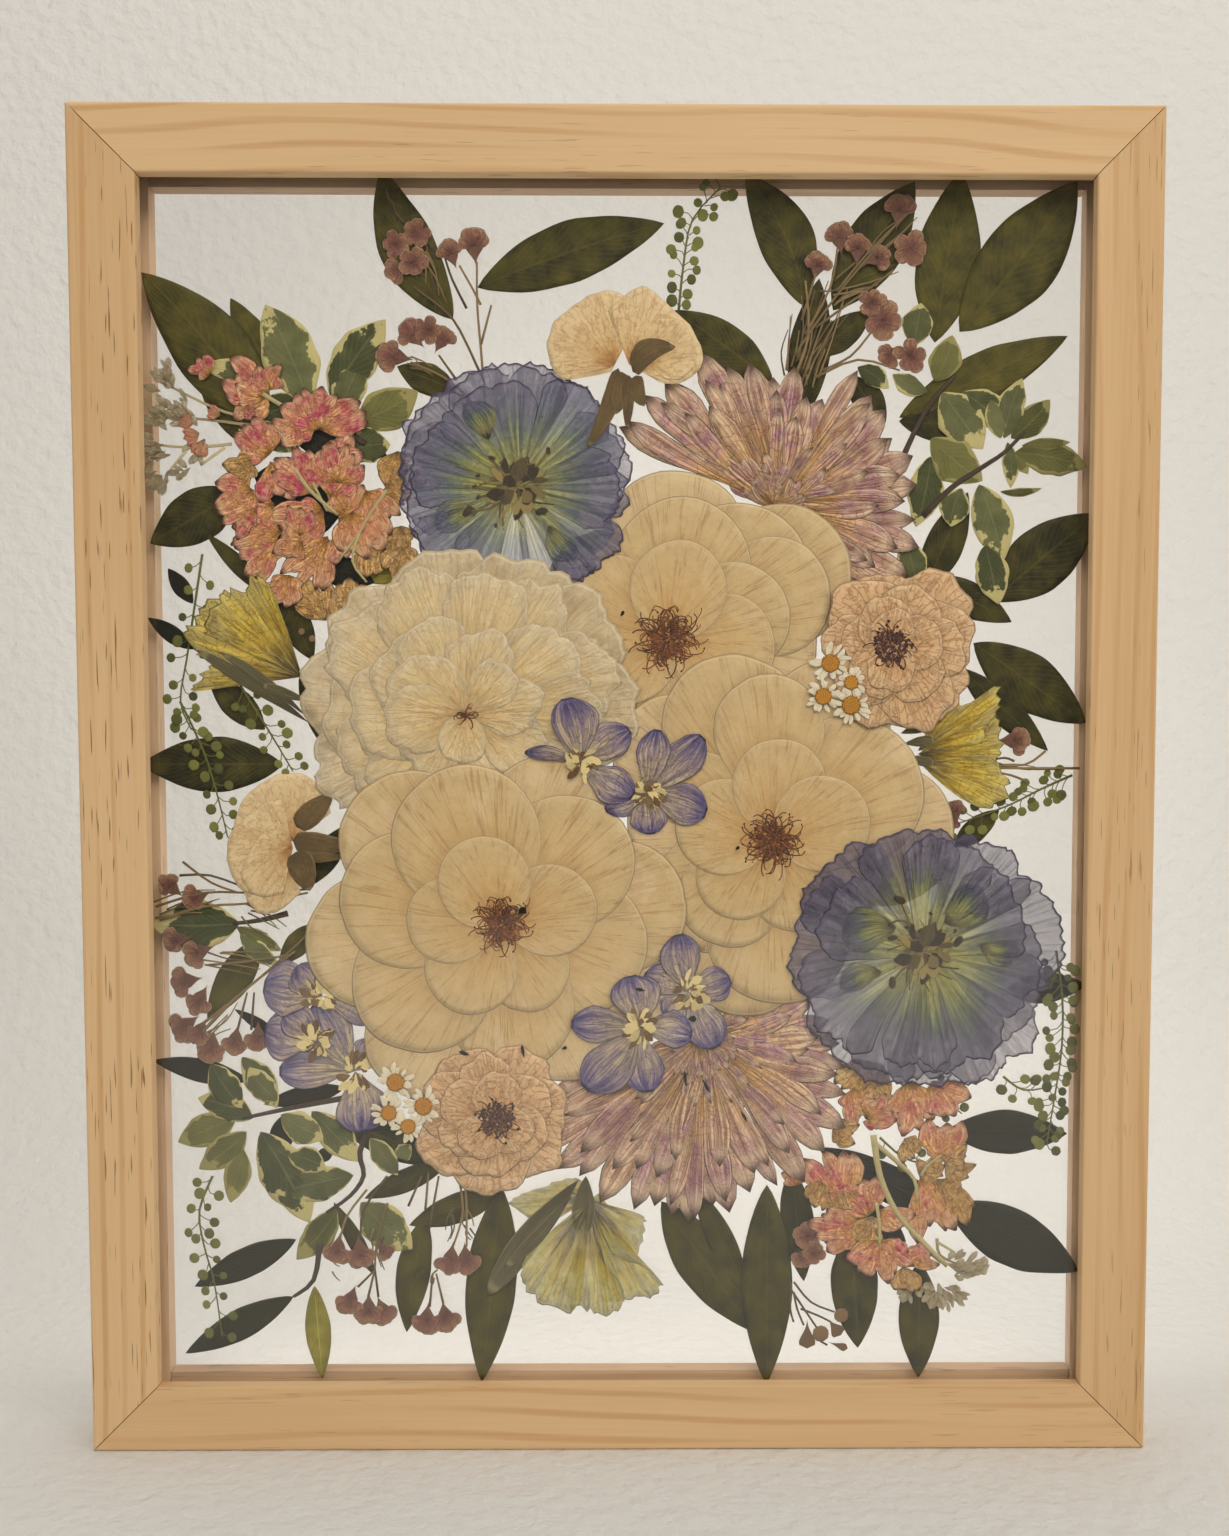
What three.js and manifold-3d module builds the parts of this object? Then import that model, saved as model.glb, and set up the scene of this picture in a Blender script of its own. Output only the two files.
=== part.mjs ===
// A pressed flower frame: a pine moulding holding two panes of glass, with dried roses,
// lisianthus, chrysanthemums, sprigs and leaves pressed flat between the panes.
//
// Millimetres, +Z up. The front faces -Y. The origin is on the ground, under the middle
// of the frame. Inside the group, x and z are measured from the middle of the frame and
// y is the depth behind the front of the moulding.

import * as THREE from 'three';
import { mergeVertices } from 'three/addons/utils/BufferGeometryUtils.js';
import Module from 'manifold-3d';

const wasm = await Module();
wasm.setup();

// ---------------------------------------------------------------- driving dimensions

const FRAME_WIDTH = 304.8; // 12 in
const FRAME_HEIGHT = 381; // 15 in
const FRAME_DEPTH = 22.2; // 7/8 in
const FACE_WIDTH = 19.05; // 3/4 in of wood round the opening
const LIP_DEPTH = 4.2; // wood in front of the glass
const REBATE = 6.35; // how far the glass reaches behind the lip
const EDGE_ROUND = 1.4; // outer edges
const SIGHT_ROUND = 0.7; // edge of the opening
const FIT_GAP = 0.3; // clearance between pieces
const GLASS_THICKNESS = 2.5;
const STRIP_DEPTH = 5.3; // retaining strips behind the back pane
const LAYER_PITCH = 0.3; // the pressed plants lie in thin layers
const LAYER_COUNT = 11;
const PLANT_THICKNESS = 0.26;
const RELIEF_STEP = 0.08; // an upper petal stands this far in front of a lower one
const FLATNESS = 0.06; // joined faces this close to one plane become one face

const SIGHT_HALF_WIDTH = FRAME_WIDTH / 2 - FACE_WIDTH;
const SIGHT_HALF_HEIGHT = FRAME_HEIGHT / 2 - FACE_WIDTH;
const FRONT_GLASS_Y = LIP_DEPTH + FIT_GAP;
const PLANTS_Y = FRONT_GLASS_Y + GLASS_THICKNESS + 0.06;
const BACK_GLASS_Y = PLANTS_Y + LAYER_PITCH * LAYER_COUNT + 0.06;
const STRIP_Y = BACK_GLASS_Y + GLASS_THICKNESS + FIT_GAP;

const DEGREE = Math.PI / 180;

// ------------------------------------------------------------------------- materials

const pine = new THREE.MeshStandardMaterial({ color: 0xd8b384, roughness: 0.6 });
const glass = new THREE.MeshStandardMaterial({
  color: 0xeef4f2,
  roughness: 0.05,
  transparent: true,
  opacity: 0.25,
});
const plant = (color) => new THREE.MeshStandardMaterial({ color, roughness: 0.85 });
const cream = plant(0xdcc392);
const ivory = plant(0xe2d3ac);
const periwinkle = plant(0x7a80a8);
const mauve = plant(0xc79a90);
const peach = plant(0xe0b78c);
const yellow = plant(0xcdb650);
const violet = plant(0x7470b4);
const white = plant(0xeeeadb);
const coral = plant(0xd68a78);
const tanPink = plant(0xb98672);
const podGreen = plant(0x6f7838);
const variegated = plant(0x8a9262);
const darkLeaf = plant(0x434a2c);

// ---------------------------------------------------------------------- solid helpers

// A closed geometry becomes a solid that can be joined to others.
function solidOf(geometry) {
  geometry.deleteAttribute('normal');
  geometry.deleteAttribute('uv');
  const merged = mergeVertices(geometry, 1e-4);
  const mesh = new wasm.Mesh({
    numProp: 3,
    vertProperties: new Float32Array(merged.attributes.position.array),
    triVerts: new Uint32Array(merged.index.array),
  });
  return new wasm.Manifold(mesh);
}

function geometryOf(solid) {
  const mesh = solid.getMesh();
  const geometry = new THREE.BufferGeometry();
  geometry.setAttribute('position', new THREE.BufferAttribute(mesh.vertProperties, 3));
  geometry.setIndex(new THREE.BufferAttribute(mesh.triVerts, 1));
  geometry.computeVertexNormals();
  return geometry;
}

// Joins overlapping solids, then merges the faces that lie in one plane.
function join(solids) {
  const whole = solids.reduce((sum, solid) => sum.add(solid));
  return whole.asOriginal().simplify(FLATNESS);
}

// A flat outline in x and z, thick from front to back in y.
function slab(outline, front, back) {
  const shape = new THREE.Shape(outline.map(([x, z]) => new THREE.Vector2(x, z)));
  const geometry = new THREE.ExtrudeGeometry(shape, {
    depth: back - front,
    bevelEnabled: false,
  });
  geometry.rotateX(Math.PI / 2);
  geometry.translate(0, back, 0);
  return solidOf(geometry);
}

// A pressed layer: every piece of a plant has the same back, and its level, 0 to 2,
// says how far forward its front is.
function pressed(outline, layer, level) {
  const back = PLANTS_Y + layer * LAYER_PITCH + PLANT_THICKNESS;
  return slab(outline, back - PLANT_THICKNESS + (2 - level) * RELIEF_STEP, back);
}

// --------------------------------------------------------------------- flat outlines

const polar = ([x, z], angle, reach) => [
  x + reach * Math.cos(angle * DEGREE),
  z + reach * Math.sin(angle * DEGREE),
];

const bearing = ([x0, z0], [x1, z1]) => Math.atan2(z1 - z0, x1 - x0) / DEGREE;

const distance = ([x0, z0], [x1, z1]) => Math.hypot(x1 - x0, z1 - z0);

// A petal or leaf that grows from base along angle. It is widest at belly, a share of
// its length, its ends are blunter the smaller taper is, and bow bends it sideways.
function blade(base, angle, length, width, options = {}) {
  const { belly = 0.62, taper = 0.6, steps = 4, bow = 0 } = options;
  const power = Math.log(0.5) / Math.log(belly);
  const along = [Math.cos(angle * DEGREE), Math.sin(angle * DEGREE)];
  const point = (t, side) => {
    const half = (width / 2) * Math.sin(Math.PI * t ** power) ** taper;
    const across = side * half + bow * 4 * t * (1 - t);
    return [
      base[0] + along[0] * t * length - along[1] * across,
      base[1] + along[1] * t * length + along[0] * across,
    ];
  };
  const inner = Array.from({ length: steps }, (_, i) => (
    0.5 - 0.5 * Math.cos(Math.PI * (i + 1) / (steps + 1))
  ));
  return [
    base,
    ...inner.map((t) => point(t, -1)),
    polar(base, angle, length),
    ...inner.reverse().map((t) => point(t, 1)),
  ];
}

// A disc with one reach for each of its corners, so that it can be lobed.
function rosette(centre, reaches, turn = 0) {
  const step = 360 / reaches.length;
  return reaches.map((reach, i) => polar(centre, turn + i * step, reach));
}

const disc = (centre, radius, corners = 8) => rosette(centre, Array(corners).fill(radius));

// A narrow four-sided strip between two points, for stems.
function strip(from, to, width) {
  const angle = bearing(from, to);
  const half = width / 2;
  return [
    polar(from, angle - 90, half),
    polar(to, angle - 90, half),
    polar(to, angle + 90, half),
    polar(from, angle + 90, half),
  ];
}

const stripsAlong = (points, width) => points.slice(1).map((to, i) => {
  const overlap = width / 3;
  const angle = bearing(points[i], to);
  return strip(polar(points[i], angle, -overlap), polar(to, angle, overlap), width);
});

// ------------------------------------------------------------------ frame and glazing

const frame = new THREE.Group();
frame.name = 'pressed_flower_frame';
frame.position.set(0, -FRAME_DEPTH / 2, FRAME_HEIGHT / 2);

function place(name, geometry, material) {
  const mesh = new THREE.Mesh(geometry, material);
  mesh.name = name;
  frame.add(mesh);
  return mesh;
}

// The moulding's section: x is the distance outwards from the edge of the opening.
function mouldingSection() {
  const section = new THREE.Shape();
  section.moveTo(0, LIP_DEPTH);
  section.lineTo(0, SIGHT_ROUND);
  section.quadraticCurveTo(0, 0, SIGHT_ROUND, 0);
  section.lineTo(FACE_WIDTH - EDGE_ROUND, 0);
  section.quadraticCurveTo(FACE_WIDTH, 0, FACE_WIDTH, EDGE_ROUND);
  section.lineTo(FACE_WIDTH, FRAME_DEPTH - EDGE_ROUND);
  section.quadraticCurveTo(FACE_WIDTH, FRAME_DEPTH, FACE_WIDTH - EDGE_ROUND, FRAME_DEPTH);
  section.lineTo(REBATE, FRAME_DEPTH);
  section.lineTo(REBATE, LIP_DEPTH);
  return section;
}

// A length of moulding whose ends are cut at 45 degrees, lying below the opening.
function mitredRail(halfLength, halfAcross) {
  const geometry = new THREE.ExtrudeGeometry(mouldingSection(), {
    depth: 1,
    curveSegments: 4,
    bevelEnabled: false,
  });
  const position = geometry.attributes.position;
  for (let i = 0; i < position.count; i += 1) {
    const outwards = position.getX(i);
    const side = position.getZ(i) > 0.5 ? 1 : -1;
    const x = side * (halfLength + outwards - FIT_GAP / 2);
    position.setXYZ(i, x, position.getY(i), -(halfAcross + outwards));
  }
  return geometryOf(solidOf(geometry));
}

const RAILS = [
  ['frame_bottom', 0, SIGHT_HALF_WIDTH, SIGHT_HALF_HEIGHT],
  ['frame_left', 1, SIGHT_HALF_HEIGHT, SIGHT_HALF_WIDTH],
  ['frame_top', 2, SIGHT_HALF_WIDTH, SIGHT_HALF_HEIGHT],
  ['frame_right', 3, SIGHT_HALF_HEIGHT, SIGHT_HALF_WIDTH],
];

for (const [name, quarter, halfLength, halfAcross] of RAILS) {
  const rail = place(name, mitredRail(halfLength, halfAcross), pine);
  rail.rotation.y = quarter * 90 * DEGREE;
}

const paneWidth = 2 * (SIGHT_HALF_WIDTH + REBATE - 2 * FIT_GAP);
const paneHeight = 2 * (SIGHT_HALF_HEIGHT + REBATE - 2 * FIT_GAP);

for (const [name, front] of [['front_glass', FRONT_GLASS_Y], ['back_glass', BACK_GLASS_Y]]) {
  const pane = new THREE.BoxGeometry(paneWidth, GLASS_THICKNESS, paneHeight);
  place(name, pane, glass).position.y = front + GLASS_THICKNESS / 2;
}

// Four square strips hold the panes in. The side ones run the full height and the
// other two fit between them, all flush with the edge of the opening.
const stripWidth = REBATE - FIT_GAP;
const sideStripLength = 2 * (SIGHT_HALF_HEIGHT + stripWidth);
const endStripLength = 2 * (SIGHT_HALF_WIDTH - FIT_GAP);

for (const [name, side] of [['strip_left', -1], ['strip_right', 1]]) {
  const box = new THREE.BoxGeometry(stripWidth, STRIP_DEPTH, sideStripLength);
  const x = side * (SIGHT_HALF_WIDTH + stripWidth / 2);
  place(name, box, pine).position.set(x, STRIP_Y + STRIP_DEPTH / 2, 0);
}

for (const [name, side] of [['strip_bottom', -1], ['strip_top', 1]]) {
  const box = new THREE.BoxGeometry(endStripLength, STRIP_DEPTH, stripWidth);
  const z = side * (SIGHT_HALF_HEIGHT + stripWidth / 2);
  place(name, box, pine).position.set(0, STRIP_Y + STRIP_DEPTH / 2, z);
}

// ------------------------------------------------------------------------ open flowers

// Each petal is [bearing in degrees, reach, width]; each ring is one level of relief,
// the lowest first. A tuft of stamens or a disc stands in the middle.
const OPEN_FLOWERS = [
  {
    name: 'rose_lower', layer: 2, centre: [-34, -38], tuft: 7, material: cream,
    rings: [
      [[140, 52, 44], [65, 49, 44], [5, 53, 46], [-60, 53, 36], [-115, 51, 44], [-170, 57, 50]],
      [[104, 47, 44], [52, 47, 40], [-12, 44, 38], [-66, 45, 38], [-130, 46, 44], [176, 47, 38]],
      [[104, 25, 28], [20, 27, 27], [-62, 26, 24], [-116, 28, 30], [180, 28, 26]],
    ],
  },
  {
    name: 'rose_middle', layer: 3, centre: [44, -14], tuft: 7, material: cream,
    rings: [
      [[119, 55, 44], [85, 50, 40], [8, 53, 44], [-85, 48, 44], [-140, 40, 36]],
      [[108, 46, 36], [46, 50, 44], [-40, 34, 36], [-145, 33, 30]],
      [[72, 29, 30], [2, 28, 27], [-76, 27, 28], [-130, 29, 26], [168, 28, 28]],
    ],
  },
  {
    name: 'rose_upper', layer: 5, centre: [14, 44], tuft: 8, material: cream,
    rings: [
      [[86, 50, 44], [22, 50, 52], [-35, 36, 36]],
      [[80, 41, 42], [35, 45, 40], [140, 32, 34], [-80, 27, 32]],
      [[82, 29, 29], [12, 31, 32]],
    ],
  },
  {
    name: 'double_rose', layer: 3, centre: [-44, 24], tuft: 2.5, material: ivory,
    rings: [
      [[178, 47, 30], [152, 46, 32], [125, 46, 32], [98, 46, 34], [68, 48, 36], [35, 52, 36],
        [2, 50, 36], [-160, 44, 32]],
      [[165, 41, 30], [135, 42, 30], [104, 40, 30], [72, 41, 30], [42, 43, 30], [8, 45, 30],
        [-30, 30, 28], [-150, 32, 26]],
      [[170, 24, 26], [100, 26, 30], [45, 28, 26], [0, 20, 18], [-90, 22, 26]],
    ],
  },
  {
    name: 'lisianthus_upper', layer: 4, centre: [-29, 88], tuft: 9, material: periwinkle,
    rings: [
      [[160, 35, 28], [20, 38, 28], [-20, 33, 26], [-100, 26, 24], [-150, 36, 26]],
      [[118, 35, 30], [82, 33, 24], [48, 33, 18], [-52, 34, 26], [-178, 34, 24]],
    ],
  },
  {
    name: 'lisianthus_lower', layer: 1, centre: [88, -47], tuft: 9, material: periwinkle,
    rings: [
      [[38, 39, 32], [148, 39, 32], [178, 37, 28], [-20, 36, 26], [-60, 43, 24]],
      [[94, 35, 32], [4, 40, 28], [-88, 38, 34], [-142, 41, 34], [-45, 38, 22]],
    ],
  },
  {
    name: 'spray_rose_right', layer: 1, centre: [78, 42], tuft: 6.5, material: peach,
    rings: [
      [[100, 19, 24], [45, 20, 24], [-5, 22, 26], [-80, 22, 24], [-140, 15, 18], [160, 17, 24]],
      [[70, 14, 16], [-40, 16, 18], [-110, 15, 16], [175, 13, 16]],
    ],
  },
  {
    name: 'spray_rose_lower', layer: 1, centre: [-36, -95], tuft: 6, material: peach,
    rings: [
      [[110, 19, 22], [60, 18, 22], [5, 17, 22], [-45, 18, 22], [-95, 23, 26], [-145, 20, 24],
        [165, 19, 24]],
      [[80, 13, 15], [-20, 13, 15], [-80, 15, 15], [-150, 13, 15], [150, 13, 15]],
    ],
  },
];

for (const { name, layer, centre, tuft, material, rings } of OPEN_FLOWERS) {
  const petals = rings.flatMap((ring, level) => ring.map(([angle, reach, width], i) => {
    const outline = blade(centre, angle, reach, width, { taper: 0.6, steps: 3 });
    return pressed(outline, layer, 0.8 * level - 0.3 * (i % 2));
  }));
  petals.push(pressed(disc(centre, tuft, 7), layer, 2));
  place(name, geometryOf(join(petals)), material);
}

// ---------------------------------------------------------------------- chrysanthemums

// Seen from the side: long narrow petals fan out of a heart. Tips are [x, z].
const CHRYSANTHEMUMS = [
  {
    name: 'chrysanthemum_upper', layer: 6, base: [45, 83], petalWidth: 9,
    tips: [[0, 104], [7, 113], [13, 117], [23, 125], [31, 121], [37, 122], [44, 118], [50, 121],
      [58, 112], [68, 120], [72, 113], [76, 109], [78, 101], [84, 96], [85, 88], [85, 78],
      [86, 70], [83, 62], [75, 60], [66, 57], [60, 48]],
  },
  {
    name: 'chrysanthemum_lower', layer: 4, base: [26, -68], petalWidth: 10,
    tips: [[-20, -88], [-25, -96], [-26, -105], [-19, -110], [-12, -112], [-6, -120], [4, -122],
      [10, -121], [15, -124], [20, -126], [27, -121], [32, -123], [38, -117], [46, -115],
      [54, -114], [60, -105], [66, -98], [66, -88], [65, -80], [58, -72], [52, -63]],
  },
];

for (const { name, layer, base, petalWidth, tips } of CHRYSANTHEMUMS) {
  const heart = tips.map((tip) => polar(base, bearing(base, tip), 0.5 * distance(base, tip)));
  const petals = tips.map((tip, i) => {
    const angle = bearing(base, tip);
    const whole = distance(base, tip);
    const root = polar(base, angle, 0.42 * whole);
    const outline = blade(root, angle, 0.58 * whole, petalWidth, { steps: 2 });
    return pressed(outline, layer, 1 + (i % 2));
  });
  place(name, geometryOf(join([pressed([base, ...heart].reverse(), layer, 0), ...petals])), mauve);
}

// ---------------------------------------------------------------- florets in clusters

// Stocks: crumpled five-lobed florets, [x, z, radius], joined by their stalks.
const STOCKS = [
  {
    name: 'stock_upper', layer: 5, material: coral,
    florets: [[-109, 92, 6], [-103, 98, 7], [-88, 109, 8], [-82, 103, 8], [-93, 97, 8],
      [-102, 88, 8], [-88, 90, 8], [-77, 89, 8], [-109, 82, 7], [-97, 80, 8], [-105, 74, 8],
      [-102, 65, 6], [-92, 67, 7], [-90, 78, 8], [-78, 78, 8], [-80, 67, 6], [-70, 67, 6],
      [-66, 91, 5], [-71, 82, 6], [-63, 71, 5], [-83, 57, 8]],
    stalks: [[[-80, 67], [-83, 57]], [[-66, 91], [-77, 89]]],
  },
  {
    name: 'stock_floret', layer: 6, material: coral,
    florets: [[-106, 117, 8], [-113, 119, 5], [-98, 121, 4]],
    stalks: [[[-98, 121], [-106, 117]], [[-106, 114], [-92, 106]]],
  },
  {
    name: 'stock_lower', layer: 5, material: coral,
    florets: [[73, -86, 8], [70, -95, 6], [78, -97, 7], [86, -90, 8], [95, -97, 7],
      [97, -108, 7], [92, -115, 8], [98, -122, 6], [84, -118, 5], [63, -110, 9], [54, -111, 6],
      [72, -117, 7], [61, -119, 6], [68, -128, 8], [61, -130, 6], [79, -128, 6], [89, -128, 6],
      [76, -138, 8], [70, -140, 6], [84, -137, 6], [85, -145, 4]],
    stalks: [[[74, -100], [81, -124]], [[81, -124], [92, -138]], [[78, -105], [86, -111]],
      [[70, -95], [74, -104]], [[75, -104], [72, -117]], [[85, -145], [84, -137]]],
  },
];

for (const { name, layer, material, florets, stalks } of STOCKS) {
  const lobes = florets.map(([x, z, radius], i) => {
    const reaches = [1, 0.85, 1, 0.8, 0.95].map((share) => share * radius);
    return pressed(rosette([x, z], reaches, 25 * i), layer, i % 2);
  });
  const stems = stalks.map(([from, to]) => pressed(strip(from, to, 2), layer, 1));
  place(name, geometryOf(join([...lobes, ...stems])), material);
}

// Feverfew: small daisies whose rays touch. Each is [x, z, disc radius].
const FEVERFEWS = [
  { name: 'feverfew_right', daisies: [[60.5, 37, 2.7], [66.5, 31.5, 2.1], [58.5, 27.5, 2.5], [66.5, 25, 3]] },
  { name: 'feverfew_left', daisies: [[-65, -84, 2.7], [-57, -91, 2.7], [-67, -93, 2.3], [-61.5, -97, 2.3]] },
];
const RAYS = 6;

for (const { name, daisies } of FEVERFEWS) {
  const pieces = daisies.flatMap(([x, z, radius], i) => {
    const reaches = Array(RAYS).fill([radius * 2.3, radius * 1.2]).flat();
    const rays = pressed(rosette([x, z], reaches, 13 * i), 0, i % 2);
    return [rays, pressed(disc([x, z], radius, 6), 0, 2)];
  });
  place(name, geometryOf(join(pieces)), white);
}

// Delphiniums: each petal is [x, z of its tip, width], from the flower's own middle.
const DELPHINIUMS = [
  { name: 'delphinium_centre_left', layer: 0, centre: [-11, 8.5],
    petals: [[-15, 27, 12], [3, 18, 10], [4, -1, 9], [-27, 11.5, 3.5]] },
  { name: 'delphinium_centre_right', layer: 1, centre: [8, 0],
    petals: [[11, 18, 9], [24, 16, 9], [25, -6, 9], [9, -12, 9], [-4, -5, 6]] },
  { name: 'delphinium_lower_left', layer: 0, centre: [6, -68],
    petals: [[3, -53, 13], [-14, -67, 9], [-10, -86, 10], [8, -87, 10], [21, -70, 10]] },
  { name: 'delphinium_lower_right', layer: 1, centre: [20, -58],
    petals: [[17, -41, 10], [32, -54, 9], [7, -53, 9], [28, -74, 10], [14, -66, 8]] },
  { name: 'delphinium_side_upper', layer: 3, centre: [-86, -59],
    petals: [[-103, -56, 15], [-93, -50, 10], [-73, -67, 6]] },
  { name: 'delphinium_side_middle', layer: 4, centre: [-88, -72],
    petals: [[-103, -69, 14], [-97, -64, 10]] },
  { name: 'delphinium_side_lower', layer: 5, centre: [-77, -81],
    petals: [[-88, -61, 12], [-99, -81, 10], [-75, -99, 14], [-71, -72, 9]] },
];

for (const { name, layer, centre, petals } of DELPHINIUMS) {
  const pieces = petals.map(([x, z, width], i) => {
    const angle = bearing(centre, [x, z]);
    const outline = blade(centre, angle, distance(centre, [x, z]), width, { steps: 2 });
    return pressed(outline, layer, i % 2);
  });
  place(name, geometryOf(join([...pieces, pressed(disc(centre, 3, 6), layer, 2)])), violet);
}

// ----------------------------------------------------------- flowers seen from the side

// Each piece is an outline of [x, z] points at one level.
const SIDE_FLOWERS = [
  {
    name: 'rosebud_top', layer: 1, material: peach,
    pieces: [
      [0, [[-20, 128], [-18, 133], [-13, 137], [-5, 141.5], [0, 140.5], [6, 142.5], [10, 141],
        [15, 137], [20, 132], [23.5, 126], [23, 119], [18, 115], [12, 116], [4, 119],
        [-5, 117], [-16, 117], [-19, 123]]],
      [1, [[-5, 120], [-5, 110], [-9, 99], [-4, 107], [0, 114], [2, 120]]],
      [1, [[1, 121], [2, 104], [5, 104], [5, 112], [9, 119], [15, 120], [9, 125]]],
    ],
  },
  {
    name: 'rosebud_left', layer: 4, material: peach,
    pieces: [
      [0, [[-113, -24], [-112, -12], [-108, -4], [-100, 3], [-90, 4], [-84, 0], [-88, -10],
        [-93, -17], [-93, -27], [-96, -33], [-104, -35], [-109, -30]]],
      [1, [[-94, -12], [-84, -12], [-79, -14], [-79, -20], [-90, -19], [-94, -16]]],
      [1, [[-89, -11], [-82, -2.5], [-83, -12]]],
      [1, [[-94, -17], [-96, -25], [-90, -28], [-88, -23]]],
    ],
  },
  {
    name: 'freesia_left', layer: 4, material: yellow,
    pieces: [
      [0, [[-90, 35], [-94, 42], [-98, 51], [-102, 60], [-104, 60], [-108, 57], [-115, 55],
        [-121, 49], [-123, 43], [-118, 38], [-122, 30], [-112, 32], [-101, 33]]],
      [1, [[-123, 43], [-90, 22], [-92, 27], [-121, 46]]],
    ],
  },
  {
    name: 'freesia_right', layer: 4, material: yellow,
    pieces: [
      [0, [[85, 9], [86, 16], [92, 23], [100, 25], [107, 29.5], [108, 20], [109, 13], [110, 6],
        [112, 1], [108, -4], [101, -3], [93, 2]]],
      [1, [[85, 10], [93, 14], [104, 11], [93, 8]]],
    ],
  },
  {
    name: 'freesia_bottom', layer: 5, material: yellow,
    pieces: [
      [0, [[-7, -120], [-15, -125], [-27, -137], [-29, -144], [-22, -149], [-13, -152],
        [-4, -152], [1, -150], [3, -143], [8, -148], [12, -146], [11, -139], [4, -134],
        [7, -124], [0, -124]]],
      [0, [[-32, -119], [-20, -113], [-12, -113], [-10, -121], [-18, -128], [-28, -129]]],
      [1, [[-13, -112], [-11, -114], [-28, -135], [-40, -149], [-34, -138]]],
    ],
  },
];

for (const { name, layer, material, pieces } of SIDE_FLOWERS) {
  const parts = pieces.map(([level, outline]) => pressed(outline, layer, level));
  place(name, geometryOf(join(parts)), material);
}

// ------------------------------------------------------------------------------ sprigs

// Waxflower: cups on thin stems that meet at a joint and run on down to a root.
const WAXFLOWERS = [
  { name: 'waxflower_top_left', layer: 7, joint: [-46, 132], root: [-38, 118],
    cups: [[-66, 155], [-64, 147], [-58, 161], [-59, 152], [-47, 157], [-40, 158], [-61, 131],
      [-51, 131], [-68, 125]] },
  { name: 'waxflower_top_right', layer: 7, joint: [60, 132], root: [48, 112],
    cups: [[62, 160], [58, 152], [68, 156], [75, 153], [83, 153], [80, 167], [75, 136],
      [78, 126], [83, 123]] },
  { name: 'waxflower_left', layer: 6, joint: [-106, -52], root: [-90, -38],
    cups: [[-129, -28], [-127, -43], [-123, -48], [-127, -55], [-122, -61], [-126, -70],
      [-119, -75], [-112, -73], [-105, -72]] },
  { name: 'waxflower_bottom_left', layer: 6, joint: [-76, -133], root: [-70, -112],
    cups: [[-83, -136], [-77, -138], [-81, -151], [-74, -154], [-70, -154]] },
  { name: 'waxflower_bottom_middle', layer: 6, joint: [-49, -126], root: [-48, -110],
    cups: [[-50, -139], [-44, -139], [-57, -157], [-51, -157]] },
];
const CUP_LENGTH = 7;
const STEM_WIDTH = 0.9;

for (const { name, layer, joint, root, cups } of WAXFLOWERS) {
  const pieces = cups.flatMap((cup, i) => {
    const angle = bearing(joint, cup);
    const foot = polar(cup, angle, -CUP_LENGTH / 2);
    const bell = blade(foot, angle, CUP_LENGTH, CUP_LENGTH, { belly: 0.7, taper: 0.8, steps: 2 });
    return [pressed(bell, layer, 1), pressed(strip(joint, cup, STEM_WIDTH), layer, 1)];
  });
  pieces.push(pressed(strip(joint, root, STEM_WIDTH * 1.5), layer, 1));
  place(name, geometryOf(join(pieces)), tanPink);
}

// Pennycress: round flat pods on hair-thin stalks, left and right of a stem by turns.
const PENNYCRESSES = [
  { name: 'pennycress_top', layer: 8, pods: 8, stem: [[17, 136], [18.5, 150], [21, 162], [29, 171]] },
  { name: 'pennycress_left_upper', layer: 8, pods: 6,
    stem: [[-119, 58], [-122, 50], [-124, 38], [-126, 26], [-123, 18]] },
  { name: 'pennycress_left_lower', layer: 7, pods: 8,
    stem: [[-130, 20], [-121, 11], [-117, 0], [-114, -12]] },
  { name: 'pennycress_right_upper', layer: 8, pods: 6,
    stem: [[131, 5], [122, 0], [112, -4], [100, -9]] },
  { name: 'pennycress_right_lower', layer: 8, pods: 8,
    stem: [[126, -52], [129, -66], [129, -80], [126, -92], [123, -101]] },
  { name: 'pennycress_bottom_left', layer: 7, pods: 7,
    stem: [[-120, -111], [-123, -120], [-122, -132], [-119, -144], [-118, -152]] },
];
const POD_RADIUS = 1.6;
const POD_REACH = 4.6;

function alongPath(points, share) {
  const last = points.length - 1;
  const leg = Math.min(Math.floor(share * last), last - 1);
  const t = share * last - leg;
  const [x0, z0] = points[leg];
  const [x1, z1] = points[leg + 1];
  return { spot: [x0 + t * (x1 - x0), z0 + t * (z1 - z0)], angle: bearing([x0, z0], [x1, z1]) };
}

for (const { name, layer, pods, stem } of PENNYCRESSES) {
  const pieces = stripsAlong(stem, STEM_WIDTH).map((outline) => pressed(outline, layer, 1));
  for (let i = 0; i < pods; i += 1) {
    const { spot, angle } = alongPath(stem, (i + 0.5) / pods);
    const side = i % 2 ? 1 : -1;
    const pod = polar(spot, angle + side * (55 + 15 * (i % 3)), POD_REACH);
    pieces.push(pressed(strip(spot, pod, 0.5), layer, 1));
    pieces.push(pressed(disc(pod, POD_RADIUS, 5), layer, 1));
  }
  place(name, geometryOf(join(pieces)), podGreen);
}

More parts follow.
